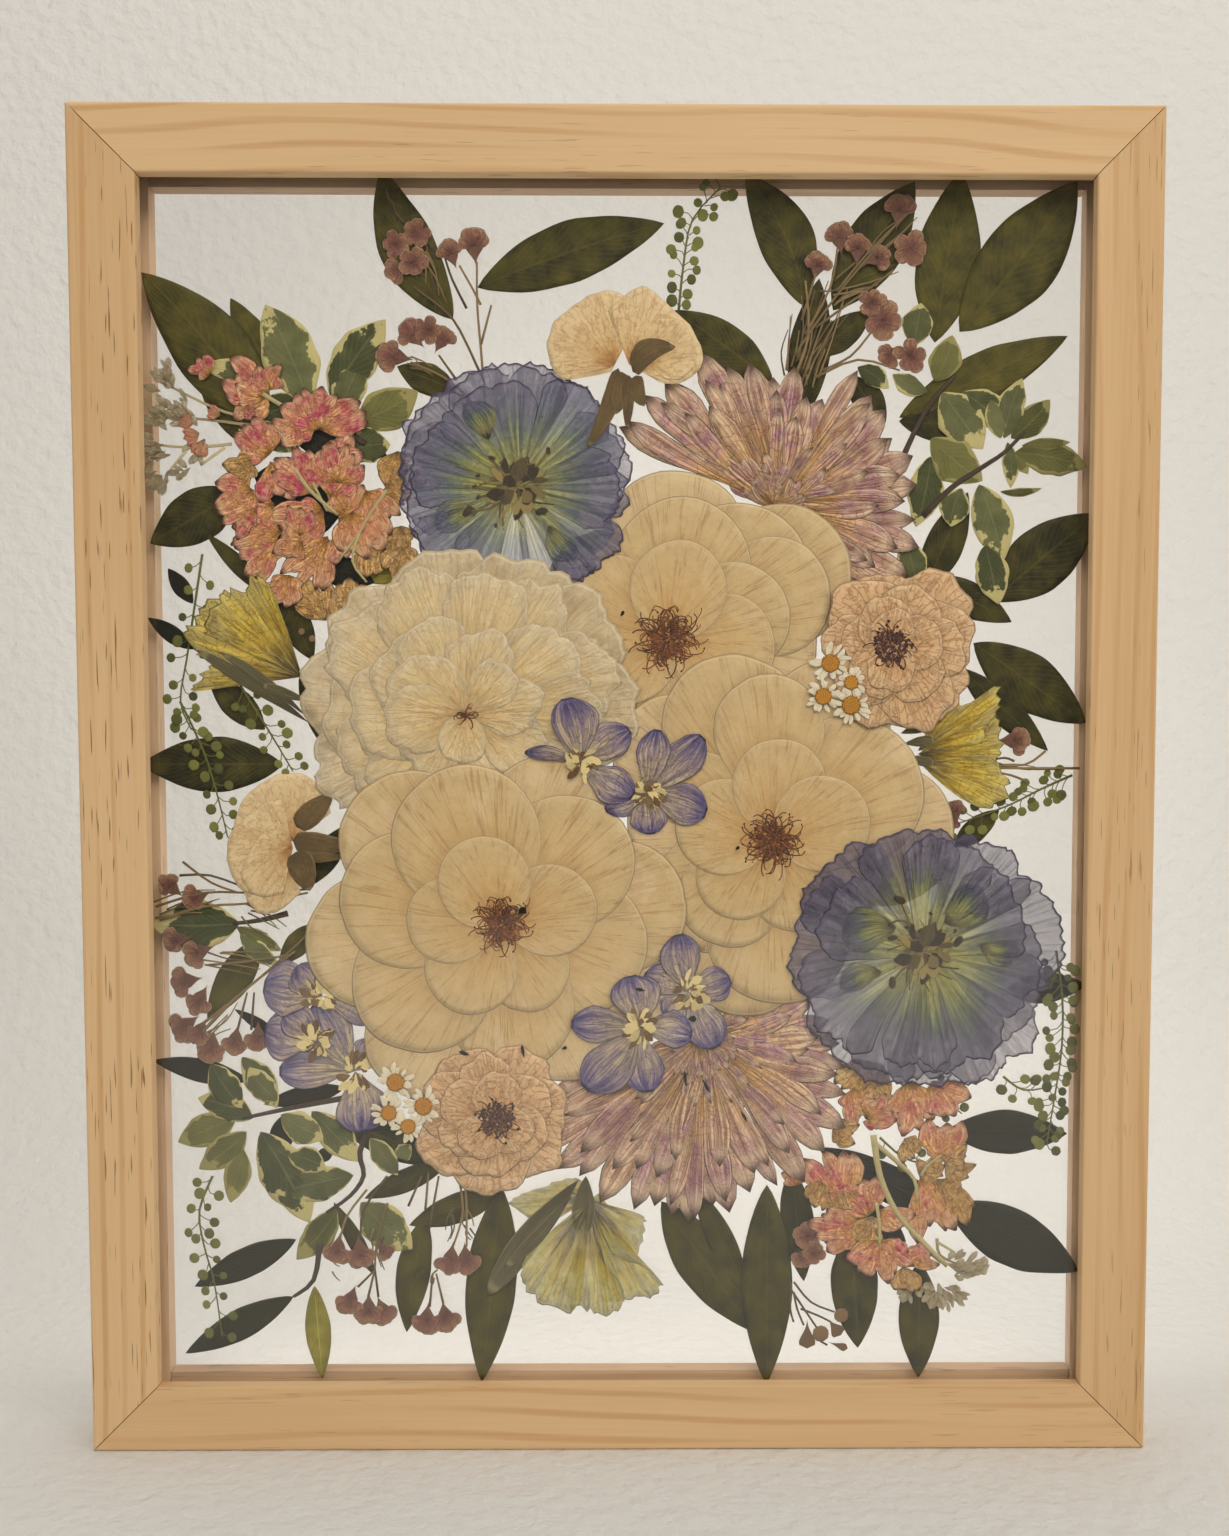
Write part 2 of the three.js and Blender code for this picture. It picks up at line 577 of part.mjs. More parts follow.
// Pittosporum: toothed oval leaves on a dark twig, each [x, z of its base, bearing,
// length, width].
const PITTOSPORUMS = [
  { name: 'pittosporum_top_left', layer: 8, twig: [[-70, 103], [-76, 107], [-86, 111], [-96, 107]],
    leaves: [[-86, 111, 112, 28, 15], [-80, 110, 66, 27, 15], [-76, 107, 70, 17, 11],
      [-72, 103, 38, 22, 12], [-76, 105, -38, 14, 8], [-92, 108, 150, 22, 9]] },
  { name: 'pittosporum_right', layer: 8, twig: [[82, 93], [89, 112], [93, 119]],
    leaves: [[90, 116, 72, 14, 9], [91, 115, 150, 20, 9], [91, 113, -45, 22, 15],
      [93, 117, -8, 18, 12], [88, 108, 100, 28, 9], [87, 105, -60, 24, 15]] },
  { name: 'pittosporum_bottom_left', layer: 8,
    twig: [[-72, -98], [-76, -112], [-86, -122], [-98, -108], [-108, -95], [-122, -96]],
    leaves: [[-98, -108, 128, 20, 10], [-100, -106, 62, 14, 9], [-85, -121, 158, 24, 15],
      [-75, -110, 105, 18, 10], [-92, -113, 118, 18, 12], [-74, -106, 35, 18, 11],
      [-78, -115, -50, 24, 13], [-86, -121, -128, 18, 10], [-110, -95, 160, 18, 12],
      [-110, -96, -105, 18, 12], [-108, -94, 110, 20, 10], [-118, -96, 120, 12, 8]] },
  { name: 'pittosporum_left', layer: 8, twig: [[-96, -35], [-108, -38]],
    leaves: [[-103, -37, 178, 30, 15], [-100, -37, -60, 16, 8]] },
];

for (const { name, layer, twig, leaves } of PITTOSPORUMS) {
  const pieces = stripsAlong(twig, 2).map((outline) => pressed(outline, layer, 2));
  leaves.forEach(([x, z, angle, length, width], i) => {
    const outline = blade([x, z], angle, length, width, { belly: 0.52, taper: 0.75, steps: 2 });
    pieces.push(pressed(outline, layer, i % 2));
  });
  place(name, geometryOf(join(pieces)), variegated);
}

// The eight largest dark leaves: base, tip, width and sideways bow.
const LEAVES = [
  { name: 'leaf_corner_left', layer: 9, base: [-99, 101], tip: [-135, 147], width: 21, bow: 2 },
  { name: 'leaf_top_left', layer: 9, base: [-47, 134], tip: [-67, 176], width: 16, bow: -3 },
  { name: 'leaf_top_middle', layer: 9, base: [-40, 143], tip: [13, 161], width: 17, bow: 0 },
  { name: 'leaf_top_right', layer: 9, base: [97, 131], tip: [130, 173], width: 22, bow: 1 },
  { name: 'leaf_upright_right', layer: 10, base: [90, 128], tip: [97, 176], width: 18, bow: 0 },
  { name: 'leaf_bottom_left', layer: 9, base: [-35, -115], tip: [-41, -174], width: 15, bow: 0 },
  { name: 'leaf_bottom_middle', layer: 10, base: [12, -120], tip: [39, -159], width: 16, bow: 0 },
  { name: 'leaf_bottom_right', layer: 9, base: [43, -115], tip: [43, -175], width: 15, bow: 0 },
];

for (const { name, layer, base, tip, width, bow } of LEAVES) {
  const reach = distance(base, tip);
  const shape = { belly: 0.48, taper: 0.85, steps: 5, bow };
  const outline = blade(base, bearing(base, tip), reach, width, shape);
  const midrib = strip(base, polar(base, bearing(base, tip), 0.6 * reach), 1);
  const parts = bow ? [pressed(outline, layer, 1)] : [pressed(outline, layer, 1), pressed(midrib, layer, 2)];
  place(name, geometryOf(join(parts)), darkLeaf);
}

export default frame;
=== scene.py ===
# %% [markdown]
# # A pressed flower frame, dressed for its picture
#
# The object is a pine moulding with two panes of glass in it. Between the panes lie dried
# roses, lisianthus, chrysanthemums, sprigs and leaves, all pressed flat. The CAD model gives
# every piece its place and size. This script keeps the moulding, the panes and the retaining
# strips as they are and paints them, and it puts a fine mesh in place of each plain plant
# solid. All the plants are thin sheets, so most of the script is about outlines, folds and
# colours that follow a petal from its base to its rim.

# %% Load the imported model
import math
import random

import bmesh
import bpy
from mathutils import Matrix, Vector, noise


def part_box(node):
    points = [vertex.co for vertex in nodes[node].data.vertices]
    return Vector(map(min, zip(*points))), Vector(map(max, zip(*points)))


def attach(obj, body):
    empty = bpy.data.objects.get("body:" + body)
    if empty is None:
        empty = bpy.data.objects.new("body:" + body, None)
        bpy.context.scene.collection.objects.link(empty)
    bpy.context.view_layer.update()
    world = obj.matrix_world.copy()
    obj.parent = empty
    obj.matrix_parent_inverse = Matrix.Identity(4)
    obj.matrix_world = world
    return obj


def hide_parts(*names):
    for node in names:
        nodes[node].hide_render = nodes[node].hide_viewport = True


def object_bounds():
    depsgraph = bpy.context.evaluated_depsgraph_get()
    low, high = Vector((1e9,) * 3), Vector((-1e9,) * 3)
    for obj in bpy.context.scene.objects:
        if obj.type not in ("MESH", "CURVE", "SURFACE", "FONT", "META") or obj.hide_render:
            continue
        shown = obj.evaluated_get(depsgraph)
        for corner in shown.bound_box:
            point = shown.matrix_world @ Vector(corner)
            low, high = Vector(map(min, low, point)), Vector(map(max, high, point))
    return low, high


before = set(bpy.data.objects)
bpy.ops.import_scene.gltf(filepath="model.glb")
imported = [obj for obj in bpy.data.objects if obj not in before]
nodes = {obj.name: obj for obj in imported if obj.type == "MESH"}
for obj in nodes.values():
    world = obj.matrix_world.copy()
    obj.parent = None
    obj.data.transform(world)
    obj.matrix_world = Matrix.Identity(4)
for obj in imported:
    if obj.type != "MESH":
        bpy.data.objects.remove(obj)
cad_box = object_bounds()
scene = bpy.context.scene
print("loaded", len(nodes), "nodes")

# %% [markdown]
# ## One set of coordinates for the plants
#
# A frame maker would measure from the middle of the opening, and backwards from the front of
# the moulding. The plants are laid out in just that way, in millimetres: x to the right, z
# up, and y the depth behind the front. PLACE turns such a point into metres in the model's
# own frame. The depths come from the CAD nodes, so a mesh lies in the same thin layer as the
# solid that it stands for.

# %% Measure the frame
MM = 0.001
low, high = cad_box
FRONT = low.y
PLACE = Matrix.Translation((0, FRONT, (low.z + high.z) / 2)) @ Matrix.Scale(MM, 4)


def depths(node):
    """How far a node's front and back lie behind the front of the moulding, in mm."""
    nearest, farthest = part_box(node)
    return (nearest.y - FRONT) / MM, (farthest.y - FRONT) / MM


GLASS_BACK = depths("front_glass")[1]
NEXT_GLASS = depths("back_glass")[0]
LAYER_COUNT = 11
PANE_GAP = 0.06  # mm between a pane and the plants next to it
LAYER_GAP = 0.04  # mm left free at the back of each layer
LAYER = (NEXT_GLASS - GLASS_BACK - 2 * PANE_GAP) / LAYER_COUNT


def layer_back(layer):
    """The depth of the back of a plant layer, 0 being the one nearest to the front."""
    return GLASS_BACK + PANE_GAP + LAYER * (layer + 1) - LAYER_GAP


print(f"plants lie between {GLASS_BACK:.2f} and {NEXT_GLASS:.2f} mm, {LAYER:.2f} mm a layer")

# %% [markdown]
# ## Camera
#
# The camera stands a little right of the middle and looks down a touch, so the left edge of
# the moulding and its top show slightly wider than the others. Its picture is shifted, not
# turned, to put the frame in the view. The focal length is given in pixels of the picture,
# and the sensor width of 36 mm only turns it into millimetres.

# %% Camera
PICTURE_WIDTH, PICTURE_HEIGHT = 1229, 1536
FOCAL_PIXELS = 1500
SENSOR = 36
AIM_X, AIM_Y = 684, 851  # where the camera's axis meets the picture
CAMERA_SPOT = (15.3, -424.8, 6.9)  # mm from the frame's middle and front
CAMERA_TURN = (90 - 3.15, -0.02, -0.44)  # degrees about x, y and z

camera_data = bpy.data.cameras.new("camera")
camera_data.sensor_fit = "AUTO"
camera_data.sensor_width = SENSOR
camera_data.lens = SENSOR * FOCAL_PIXELS / PICTURE_HEIGHT
camera_data.shift_x = (PICTURE_WIDTH / 2 - AIM_X) / PICTURE_HEIGHT
camera_data.shift_y = (AIM_Y - PICTURE_HEIGHT / 2) / PICTURE_HEIGHT
camera_data.clip_start = 0.01
camera = bpy.data.objects.new("camera", camera_data)
camera.location = PLACE @ Vector(CAMERA_SPOT)
camera.rotation_euler = [math.radians(angle) for angle in CAMERA_TURN]
scene.collection.objects.link(camera)
scene.camera = camera
print("camera", [round(v, 3) for v in camera.location])

# %% [markdown]
# ## Building shaders by script
#
# A shader is a tree of nodes. Every material here needs the same few steps: make a node,
# link some of its inputs and type numbers into the rest. The helpers below do that, so that
# a finish reads as a list of what is laid over what. Colours are written as a colour picker
# shows them, from 0 to 255, and turned into the linear values that a shader needs.


# %% Nodes and numbers
def set_inputs(node, values):
    """Links sockets to a node's inputs, and writes plain values into them."""
    for key, value in values.items():
        socket = node.inputs[key]
        if isinstance(value, bpy.types.NodeSocket):
            node.id_data.links.new(value, socket)
        else:
            socket.default_value = value
    return node


def add_node(tree, kind, values=None, **settings):
    """A shader node with its settings and inputs filled in."""
    node = tree.nodes.new("ShaderNode" + kind)
    for name, value in settings.items():
        setattr(node, name, value)
    return set_inputs(node, values or {})


def math_node(tree, operation, *values, clamp=False):
    """The result of one Math node."""
    node = add_node(tree, "Math", dict(enumerate(values)), operation=operation)
    node.use_clamp = clamp
    return node.outputs[0]


def times(tree, value, factor):
    return math_node(tree, "MULTIPLY", value, factor)


def times_plus(tree, value, factor, more, clamp=False):
    """A value times a factor, plus something more."""
    return math_node(tree, "MULTIPLY_ADD", value, factor, more, clamp=clamp)


def minus(tree, value, less):
    return math_node(tree, "SUBTRACT", value, less)


def fade(tree, value, start, end, to_start=0.0, to_end=1.0):
    """A smooth step: to_start up to start, to_end past end."""
    node = add_node(tree, "MapRange", interpolation_type="SMOOTHSTEP")
    ends = (value, start, end, to_start, to_end)
    return set_inputs(node, dict(enumerate(ends))).outputs[0]


# %% Colours and noise
def linear(colour):
    """Screen values from 0 to 255 as the linear colour that a shader reads."""
    shares = [v / 255 for v in colour]
    return [s / 12.92 if s < 0.04 else ((s + 0.055) / 1.055) ** 2.4 for s in shares] + [1]


def mix(tree, share, first, second):
    """A mix of two colours, given as sockets or as screen values."""
    node = add_node(tree, "Mix", data_type="RGBA")
    ends = [v if isinstance(v, bpy.types.NodeSocket) else linear(v) for v in (first, second)]
    return set_inputs(node, {0: share, 6: ends[0], 7: ends[1]}).outputs[2]


def ramp(tree, value, stops):
    """Colours along a value: each stop is a place from 0 to 1 and a screen colour."""
    node = add_node(tree, "ValToRGB", {0: value})
    elements = node.color_ramp.elements
    while len(elements) < len(stops):
        elements.new(0.5)
    for element, (place, colour) in zip(elements, stops):
        element.position = place
        element.color = linear(colour)
    return node.outputs[0]


def noise_value(tree, vector, scale, detail=2.0, roughness=0.5):
    """A soft noise between 0 and 1."""
    values = {"Vector": vector, "Scale": scale, "Detail": detail, "Roughness": roughness}
    return add_node(tree, "TexNoise", values).outputs[0]


def stretched(tree, vector, scale, turn=(0, 0, 0)):
    """A vector scaled, and turned, about the middle of the model."""
    values = {"Vector": vector, "Scale": scale, "Rotation": turn}
    return add_node(tree, "Mapping", values).outputs[0]


def object_vector(tree):
    """The place on the object, in metres."""
    return add_node(tree, "TexCoord").outputs["Object"]


# %% Groups and materials
def new_group(name, inputs, outputs):
    """An empty node group, its input sockets and the node that takes its results."""
    tree = bpy.data.node_groups.new(name, "ShaderNodeTree")
    for socket, default in inputs.items():
        kind = "NodeSocketVector" if isinstance(default, tuple) else "NodeSocketFloat"
        made = tree.interface.new_socket(socket, in_out="INPUT", socket_type=kind)
        made.default_value = default
    for socket in outputs:
        tree.interface.new_socket(socket, in_out="OUTPUT", socket_type="NodeSocketFloat")
    return tree, tree.nodes.new("NodeGroupInput").outputs, tree.nodes.new("NodeGroupOutput")


def use_group(tree, group, values):
    """A copy of a group in a material, with its own values."""
    node = tree.nodes.new("ShaderNodeGroup")
    node.node_tree = group
    return set_inputs(node, values).outputs


def new_material(name):
    """A material, its node tree and its Principled shader."""
    material = bpy.data.materials.new(name)
    material.use_nodes = True
    return material, material.node_tree, material.node_tree.nodes["Principled BSDF"]


def lay_over(tree, colour, marks, layers):
    """Each layer is a mark, its share and its paint, over the colour so far."""
    for mark, share, paint in layers:
        colour = mix(tree, times(tree, marks[mark], share), colour, paint)
    return colour


def bump(tree, shader, height, distance, strength=1.0):
    """Feeds a height, in shares of distance (metres), to the shader's normal."""
    values = {"Height": height, "Distance": distance, "Strength": strength}
    set_inputs(shader, {"Normal": add_node(tree, "Bump", values).outputs[0]})


# %% [markdown]
# ## Backdrop and lights
#
# The backdrop is one sheet that rises from the floor in a wide curve, so that no horizon
# line shows through the glass. It starts as a single edge at the front of the floor. The
# edge is extruded back, spun a quarter turn round the curve, and extruded up to the top.

# %% Backdrop
FLOOR_FRONT = -1.6
WALL_Y = 0.24
COVE = 0.12  # radius of the curve between floor and wall
COVE_STEPS = 12
ROOM_HALF = 2.2
WALL_TOP = 2.0


def extruded(bm, edges, move):
    """Sweeps edges along a straight way and returns the edges at its end."""
    out = bmesh.ops.extrude_edge_only(bm, edges=edges)["geom"]
    verts = [g for g in out if isinstance(g, bmesh.types.BMVert)]
    bmesh.ops.translate(bm, verts=verts, vec=move)
    return [g for g in out if isinstance(g, bmesh.types.BMEdge)]


def backdrop_sheet():
    """Floor, curve and wall in one sheet that faces up and forwards."""
    bm = bmesh.new()
    left, right = (bm.verts.new((x, FLOOR_FRONT, 0)) for x in (-ROOM_HALF, ROOM_HALF))
    edge = bm.edges.new((left, right))
    cove_front = WALL_Y - COVE
    top = extruded(bm, [edge], (0, cove_front - FLOOR_FRONT, 0))
    top = [e for e in top if all(abs(v.co.y - cove_front) < 1e-6 for v in e.verts)]
    spun = bmesh.ops.spin(
        bm, geom=top + list(top[0].verts), cent=(0, cove_front, COVE), axis=(1, 0, 0),
        angle=math.pi / 2, steps=COVE_STEPS,
    )["geom_last"]
    extruded(bm, [g for g in spun if isinstance(g, bmesh.types.BMEdge)], (0, 0, WALL_TOP))
    bmesh.ops.recalc_face_normals(bm, faces=bm.faces)
    if sum(face.normal.z for face in bm.faces) < 0:
        bmesh.ops.reverse_faces(bm, faces=bm.faces[:])
    return bm


def make_backdrop():
    bm = backdrop_sheet()
    mesh = bpy.data.meshes.new("backdrop")
    bm.to_mesh(mesh)
    bm.free()
    for polygon in mesh.polygons:
        polygon.use_smooth = True
    backdrop = bpy.data.objects.new("backdrop", mesh)
    scene.collection.objects.link(backdrop)
    return backdrop


# %% Wall paint
def paint_wall(backdrop):
    """Pale rolled wall paint with low bumps, clear from behind to show the frame's back."""
    material, tree, shader = new_material("wall_paint")
    place = object_vector(tree)
    cloud = noise_value(tree, place, 3.0)
    dimples = noise_value(tree, place, 170.0, detail=3)
    shade = mix(tree, cloud, (226, 227, 227), (234, 235, 235))
    set_inputs(shader, {"Base Color": shade, "Roughness": 0.8})
    bump(tree, shader, dimples, 0.003, 0.6)
    behind = add_node(tree, "NewGeometry").outputs["Backfacing"]
    set_inputs(shader, {"Alpha": minus(tree, 1.0, behind)})
    backdrop.data.materials.append(material)


paint_wall(make_backdrop())
print("backdrop stands", round(WALL_Y / MM), "mm behind the middle of the frame")

# %% Lights
GLASS_MIDDLE = Vector((0, 0, 0.19))
WARM_WHITE = (1.0, 0.93, 0.83)
LIGHTS = [
    # name, place, width and height, watts: each looks at the middle of the glass
    ("key_above", (0.3, -1.0, 1.25), (1.2, 0.8), 8.8),
    ("fill_right", (1.1, -0.75, 0.45), (0.8, 1.0), 4.0),
    ("fill_left", (-1.1, -0.75, 0.35), (0.8, 1.0), 3.2),
    ("wall_wash", (0.0, 0.0, 1.15), (1.4, 0.2), 2.3),
]


def area_light(name, place, size, watts, turn):
    """A warm white panel; turn is its rotation in radians."""
    light = bpy.data.lights.new(name, "AREA")
    light.shape = "RECTANGLE"
    light.size, light.size_y = size
    light.energy = watts
    light.color = WARM_WHITE
    lamp = bpy.data.objects.new(name, light)
    lamp.location = place
    lamp.rotation_euler = turn
    scene.collection.objects.link(lamp)
    return lamp


for name, place, size, watts in LIGHTS:
    aim = (GLASS_MIDDLE - Vector(place)).to_track_quat("-Z", "Y").to_euler()
    area_light(name, place, size, watts, aim)

# A soft glow on the wall behind the glass, where the frame would leave a dark patch.
glow = area_light("wall_glow", (0, 0.03, 0.19), (0.26, 0.34), 0.42, (math.pi / 2, 0, 0))
glow.visible_camera = False
glow.visible_transmission = False
glow.visible_glossy = False
print(len(LIGHTS) + 1, "lights")

# %% World
STUDIO = linear((242, 236, 226))
STUDIO_STRENGTH = 0.13
world = bpy.data.worlds.new("studio")
world.use_nodes = True
set_inputs(world.node_tree.nodes["Background"], {"Color": STUDIO, "Strength": STUDIO_STRENGTH})
scene.world = world
scene.view_settings.view_transform = "Standard"
print("a dim studio round them, strength", STUDIO_STRENGTH)

# %% [markdown]
# ## Pine
#
# The moulding is clear pine, planed and left almost bare. Close up it has three scales of
# grain: growth bands a few millimetres apart that drift along the rail, fine fibres, and short
# dark dashes where resin canals are cut open. All three are noise that is stretched along the
# grain. A group holds them once, and its vector input decides which way the grain runs: along
# x on the top and bottom rails, along z on the two stiles.

# %% Wood grain group
grain_tree, grain_in, grain_out = new_group(
    "wood_grain",
    {"Vector": (0, 0, 0), "Band Pitch": 0.0009, "Drift": 0.03, "Dashes": 0.5},
    ("Bands", "Fibres", "Dashes", "Height"),
)


def build_grain(tree, given, out):
    """x of the vector runs along the grain."""
    across = add_node(tree, "SeparateXYZ", {0: given["Vector"]}).outputs
    drift = noise_value(tree, stretched(tree, given["Vector"], (5, 22, 22)), 1.0, detail=1.5)
    wander = times_plus(tree, drift, given["Drift"], across["Y"])
    rings = math_node(tree, "DIVIDE", wander, given["Band Pitch"])
    wave = math_node(tree, "SINE", rings)
    clear = noise_value(tree, stretched(tree, given["Vector"], (7, 160, 160)), 1.0, detail=1.0)
    late = times(tree, fade(tree, wave, 0.3, 1.0), fade(tree, clear, 0.36, 0.62))
    fibres = noise_value(tree, stretched(tree, given["Vector"], (26, 1500, 1500)), 1.0, detail=3)
    dash_noise = noise_value(tree, stretched(tree, given["Vector"], (80, 1500, 800)), 1.0, 0.6)
    patches = noise_value(tree, stretched(tree, given["Vector"], (9, 60, 60)), 1.0, detail=1.0)
    rare = times(tree, given["Dashes"], fade(tree, patches, 0.4, 0.56))
    dashes = times(tree, fade(tree, dash_noise, 0.66, 0.74), rare)
    height = minus(tree, fibres, dashes)
    set_inputs(out, {"Bands": late, "Fibres": fibres, "Dashes": dashes, "Height": height})


build_grain(grain_tree, grain_in, grain_out)
print("wood grain group:", len(grain_tree.nodes), "nodes")

# %% Pine finish
BAND_PITCH = 0.0009


def pine(name, turn, shift, band=(198, 142, 80), pale=(232, 193, 144), dark=(214, 171, 119),
         drift=0.03, dashes=0.5):
    """Pine with its grain turned about y, and a shift to another part of the plank."""
    material, tree, shader = new_material(name)
    place = add_node(tree, "VectorMath", {0: object_vector(tree), 1: shift}, operation="ADD")
    along = stretched(tree, place.outputs[0], (1, 1, 1), (0, math.radians(turn), 0))
    across = add_node(tree, "SeparateXYZ", {0: along}).outputs
    swapped = {"X": across["X"], "Y": across["Z"], "Z": across["Y"]}
    vector = add_node(tree, "CombineXYZ", swapped).outputs[0]
    grain = use_group(tree, grain_tree, {
        "Vector": vector, "Band Pitch": BAND_PITCH, "Drift": drift, "Dashes": dashes,
    })
    cloud = noise_value(tree, stretched(tree, vector, (3, 30, 30)), 1.0)
    ground = mix(tree, fade(tree, cloud, 0.3, 0.7), pale, dark)
    marked = lay_over(tree, ground, grain, [
        ("Bands", 0.6, band), ("Fibres", 0.4, (246, 220, 176)), ("Dashes", 1, (124, 78, 46)),
    ])
    set_inputs(shader, {"Base Color": marked, "Roughness": 0.52, "IOR": 1.45})
    bump(tree, shader, grain["Height"], 0.00006, 0.7)
    return material


# %% Pine on the moulding and the strips
RAIL_FINISHES = {
    "frame_top": pine("pine_top", 0, (0.03, 0, 0.017), dashes=0.3),
    "frame_bottom": pine("pine_bottom", 0, (0.4, 0, 0.21), drift=0.018, dashes=0.25),
    "frame_left": pine("pine_left", 90, (0.1, 0, 0.31), drift=0.008, dashes=0.8),
    "frame_right": pine("pine_right", 90, (0.24, 0, 0.55), drift=0.02, dashes=0.45),
}
# The top and bottom strips take a darker copy of the pine as painted shade under the lip,
# and the side strips a lighter copy as painted light.
across_strip_shaded = pine("pine_across_strip_shaded", 0, (0.7, 0, 0.4), (158, 116, 86), (196, 160, 128),
                    (170, 132, 104))
upright_strip_lit = pine("pine_upright_strip_lit", 90, (0.8, 0, 0.7), (192, 146, 108), (228, 190, 154),
                     (206, 164, 130))
for end in ("top", "bottom"):
    RAIL_FINISHES[f"strip_{end}"] = across_strip_shaded
for side in ("left", "right"):
    RAIL_FINISHES[f"strip_{side}"] = upright_strip_lit


def repaint(node, material):
    """Puts one finish in place of whatever a CAD node came with."""
    nodes[node].data.materials.clear()
    nodes[node].data.materials.append(material)


for node, finish in RAIL_FINISHES.items():
    repaint(node, finish)
print("painted", len(RAIL_FINISHES), "pieces of pine")

# %% [markdown]
# ## Glass
#
# Both panes are thin picture glass, so they are a plain refracting shader with nothing
# painted on it. A real pane lets light reach what lies behind it. A renderer that traces
# light through refracting glass would leave the flowers in a dark box, so the panes cast no
# shadow.

# %% Glass on both panes
glass, _, glass_shader = new_material("picture_glass")
set_inputs(glass_shader, {
    "Base Color": linear((255, 255, 255)), "Roughness": 0.0, "IOR": 1.5,
    "Transmission Weight": 1.0,
})
for pane in ("front_glass", "back_glass"):
    repaint(pane, glass)
    nodes[pane].visible_shadow = False
print("two panes", round(depths("front_glass")[1] - depths("front_glass")[0], 2), "mm thick")

# %% [markdown]
# ## How a pressed petal is made
#
# A petal is a sheet that grows from one point, its base, and its veins fan out from there.
# So each one starts as a flat grid of quads. The grid's columns become lines that run from
# the base to the rim, and its rows become curves that cross them. The grid's own UV map goes
# with it: across the petal from side to side, and along it from base to rim. Colours and
# veins that use this map follow the petal wherever it is bent. A round petal is a circle
# drawn out to a point at its base. A long petal or a leaf is widest somewhere on its length
# and narrows to both ends.


# %% Bearings
def bearing(start, end):
    """The way from one x, z point to another, in degrees anticlockwise from the right."""
    return math.degrees(math.atan2(end[1] - start[1], end[0] - start[0]))


def polar(start, angle, reach):
    """The x, z point so far from the start along a bearing."""
    turn = math.radians(angle)
    return start[0] + reach * math.cos(turn), start[1] + reach * math.sin(turn)


def turned(base, angle, along, across, depth):
    """A point so far along a bearing and to the right of it, from a base in x and z."""
    turn = math.radians(angle)
    x = base[0] + along * math.cos(turn) + across * math.sin(turn)
    z = base[1] + along * math.sin(turn) - across * math.cos(turn)
    return Vector((x, depth, z))


# %% Sheets
def open_sheets():
    """An empty mesh with the map and the values that the petal finishes read."""
    bm = bmesh.new()
    bm.loops.layers.uv.new("petal")
    bm.faces.layers.float.new("tone")
    bm.verts.layers.float.new("shade")
    return bm


def add_sheet(bm, columns, rows, place, tone):
    """A grid whose points are moved by place(u, v), u from -1 to 1 and v from 0 to 1."""
    verts = bmesh.ops.create_grid(
        bm, x_segments=columns, y_segments=rows, size=1, calc_uvs=True,
    )["verts"]
    for vert in verts:
        vert.co = place(vert.co.x, (vert.co.y + 1) / 2)
    layer = bm.faces.layers.float["tone"]
    for face in {face for vert in verts for face in vert.link_faces}:
        face[layer] = tone
    bmesh.ops.remove_doubles(bm, verts=verts, dist=1e-5)


def waver(seed, *at):
    """Smooth noise from -1 to 1 that is the same every time."""
    spot = Vector(list(at) + [0] * (3 - len(at)))
    return noise.noise(spot + Vector((seed * 7.31, seed * 3.17, seed * 5.71)))


def jitter(most):
    """A random amount, up to so much either way."""
    return random.uniform(-most, most)


# %% Round and long petals
def round_petal(bm, base, angle, reach, width, depth, columns=36, rows=12, frill=0.03,
                lobes=3.0, wave=0.02, tone=0.5, seed=0):
    """A circle drawn out to a point at its base, with an uneven rim."""
    radius = width / 2
    centre = max(reach - radius, 0.01)
    widest = math.pi - math.acos(min(1.0, radius / centre))

    def place(u, v):
        phi = u * widest
        uneven = 1 + frill * waver(seed, u * lobes, 1.3)
        fine = 1 + 0.3 * frill * waver(seed, u * lobes * 4, 5.1)
        along = (centre + radius * math.cos(phi)) * (1 + (uneven * fine - 1) * v * v)
        across = radius * math.sin(phi) * (1 + (uneven * fine - 1) * v * v)
        shift = wave * waver(seed, u * 4, v * 3)
        return turned(base, angle, along * v, across * v, depth + shift * v)

    add_sheet(bm, columns, rows, place, tone)


def long_petal(bm, base, angle, length, width, depth, columns=6, rows=12, belly=0.6,
               taper=0.7, bow=0.0, frill=0.0, lobes=6.0, wave=0.02, trough=0.0, tone=0.5,
               seed=0, blunt=0.0):
    """A narrow sheet, widest at belly, with blunter ends for a smaller taper."""
    power = math.log(0.5) / math.log(belly)

    def place(u, v):
        t = v * (1 - blunt)
        half = width / 2 * math.sin(math.pi * max(t, 0.0) ** power) ** taper
        half *= 1 + frill * waver(seed, math.copysign(3, u), v * lobes)
        across = u * half + bow * 4 * v * (1 - v)
        shift = wave * waver(seed, u * 2, v * 4) + trough * (1 - u * u)
        return turned(base, angle, v * length, across, depth + shift * math.sin(math.pi * v))

    add_sheet(bm, columns, rows, place, tone)


# %% Fan petals
FAN_GRID = (40, 14)  # columns and rows
FAN_FRILL = 0.06
FAN_WAVE = 0.03


def fan_petal(bm, base, angle, reach, spread, depth, tone, seed):
    """A wedge that opens over spread degrees to a torn, wavy rim."""
    def place(u, v):
        side = waver(seed, v * 2) * 3 * v + u * spread / 2 * (0.75 + 0.25 * v)
        torn = waver(seed, u * 2.5) + 0.7 * waver(seed, u * 8, 3) + 0.3 * waver(seed, u * 30)
        torn *= FAN_FRILL
        along = reach * v * (1 + torn * v - 0.16 * abs(u) ** 5)
        shift = FAN_WAVE * waver(seed, u * 5, v * 2) * v
        return turned(base, angle + side, along, 0, depth + shift)

    add_sheet(bm, *FAN_GRID, place, tone)


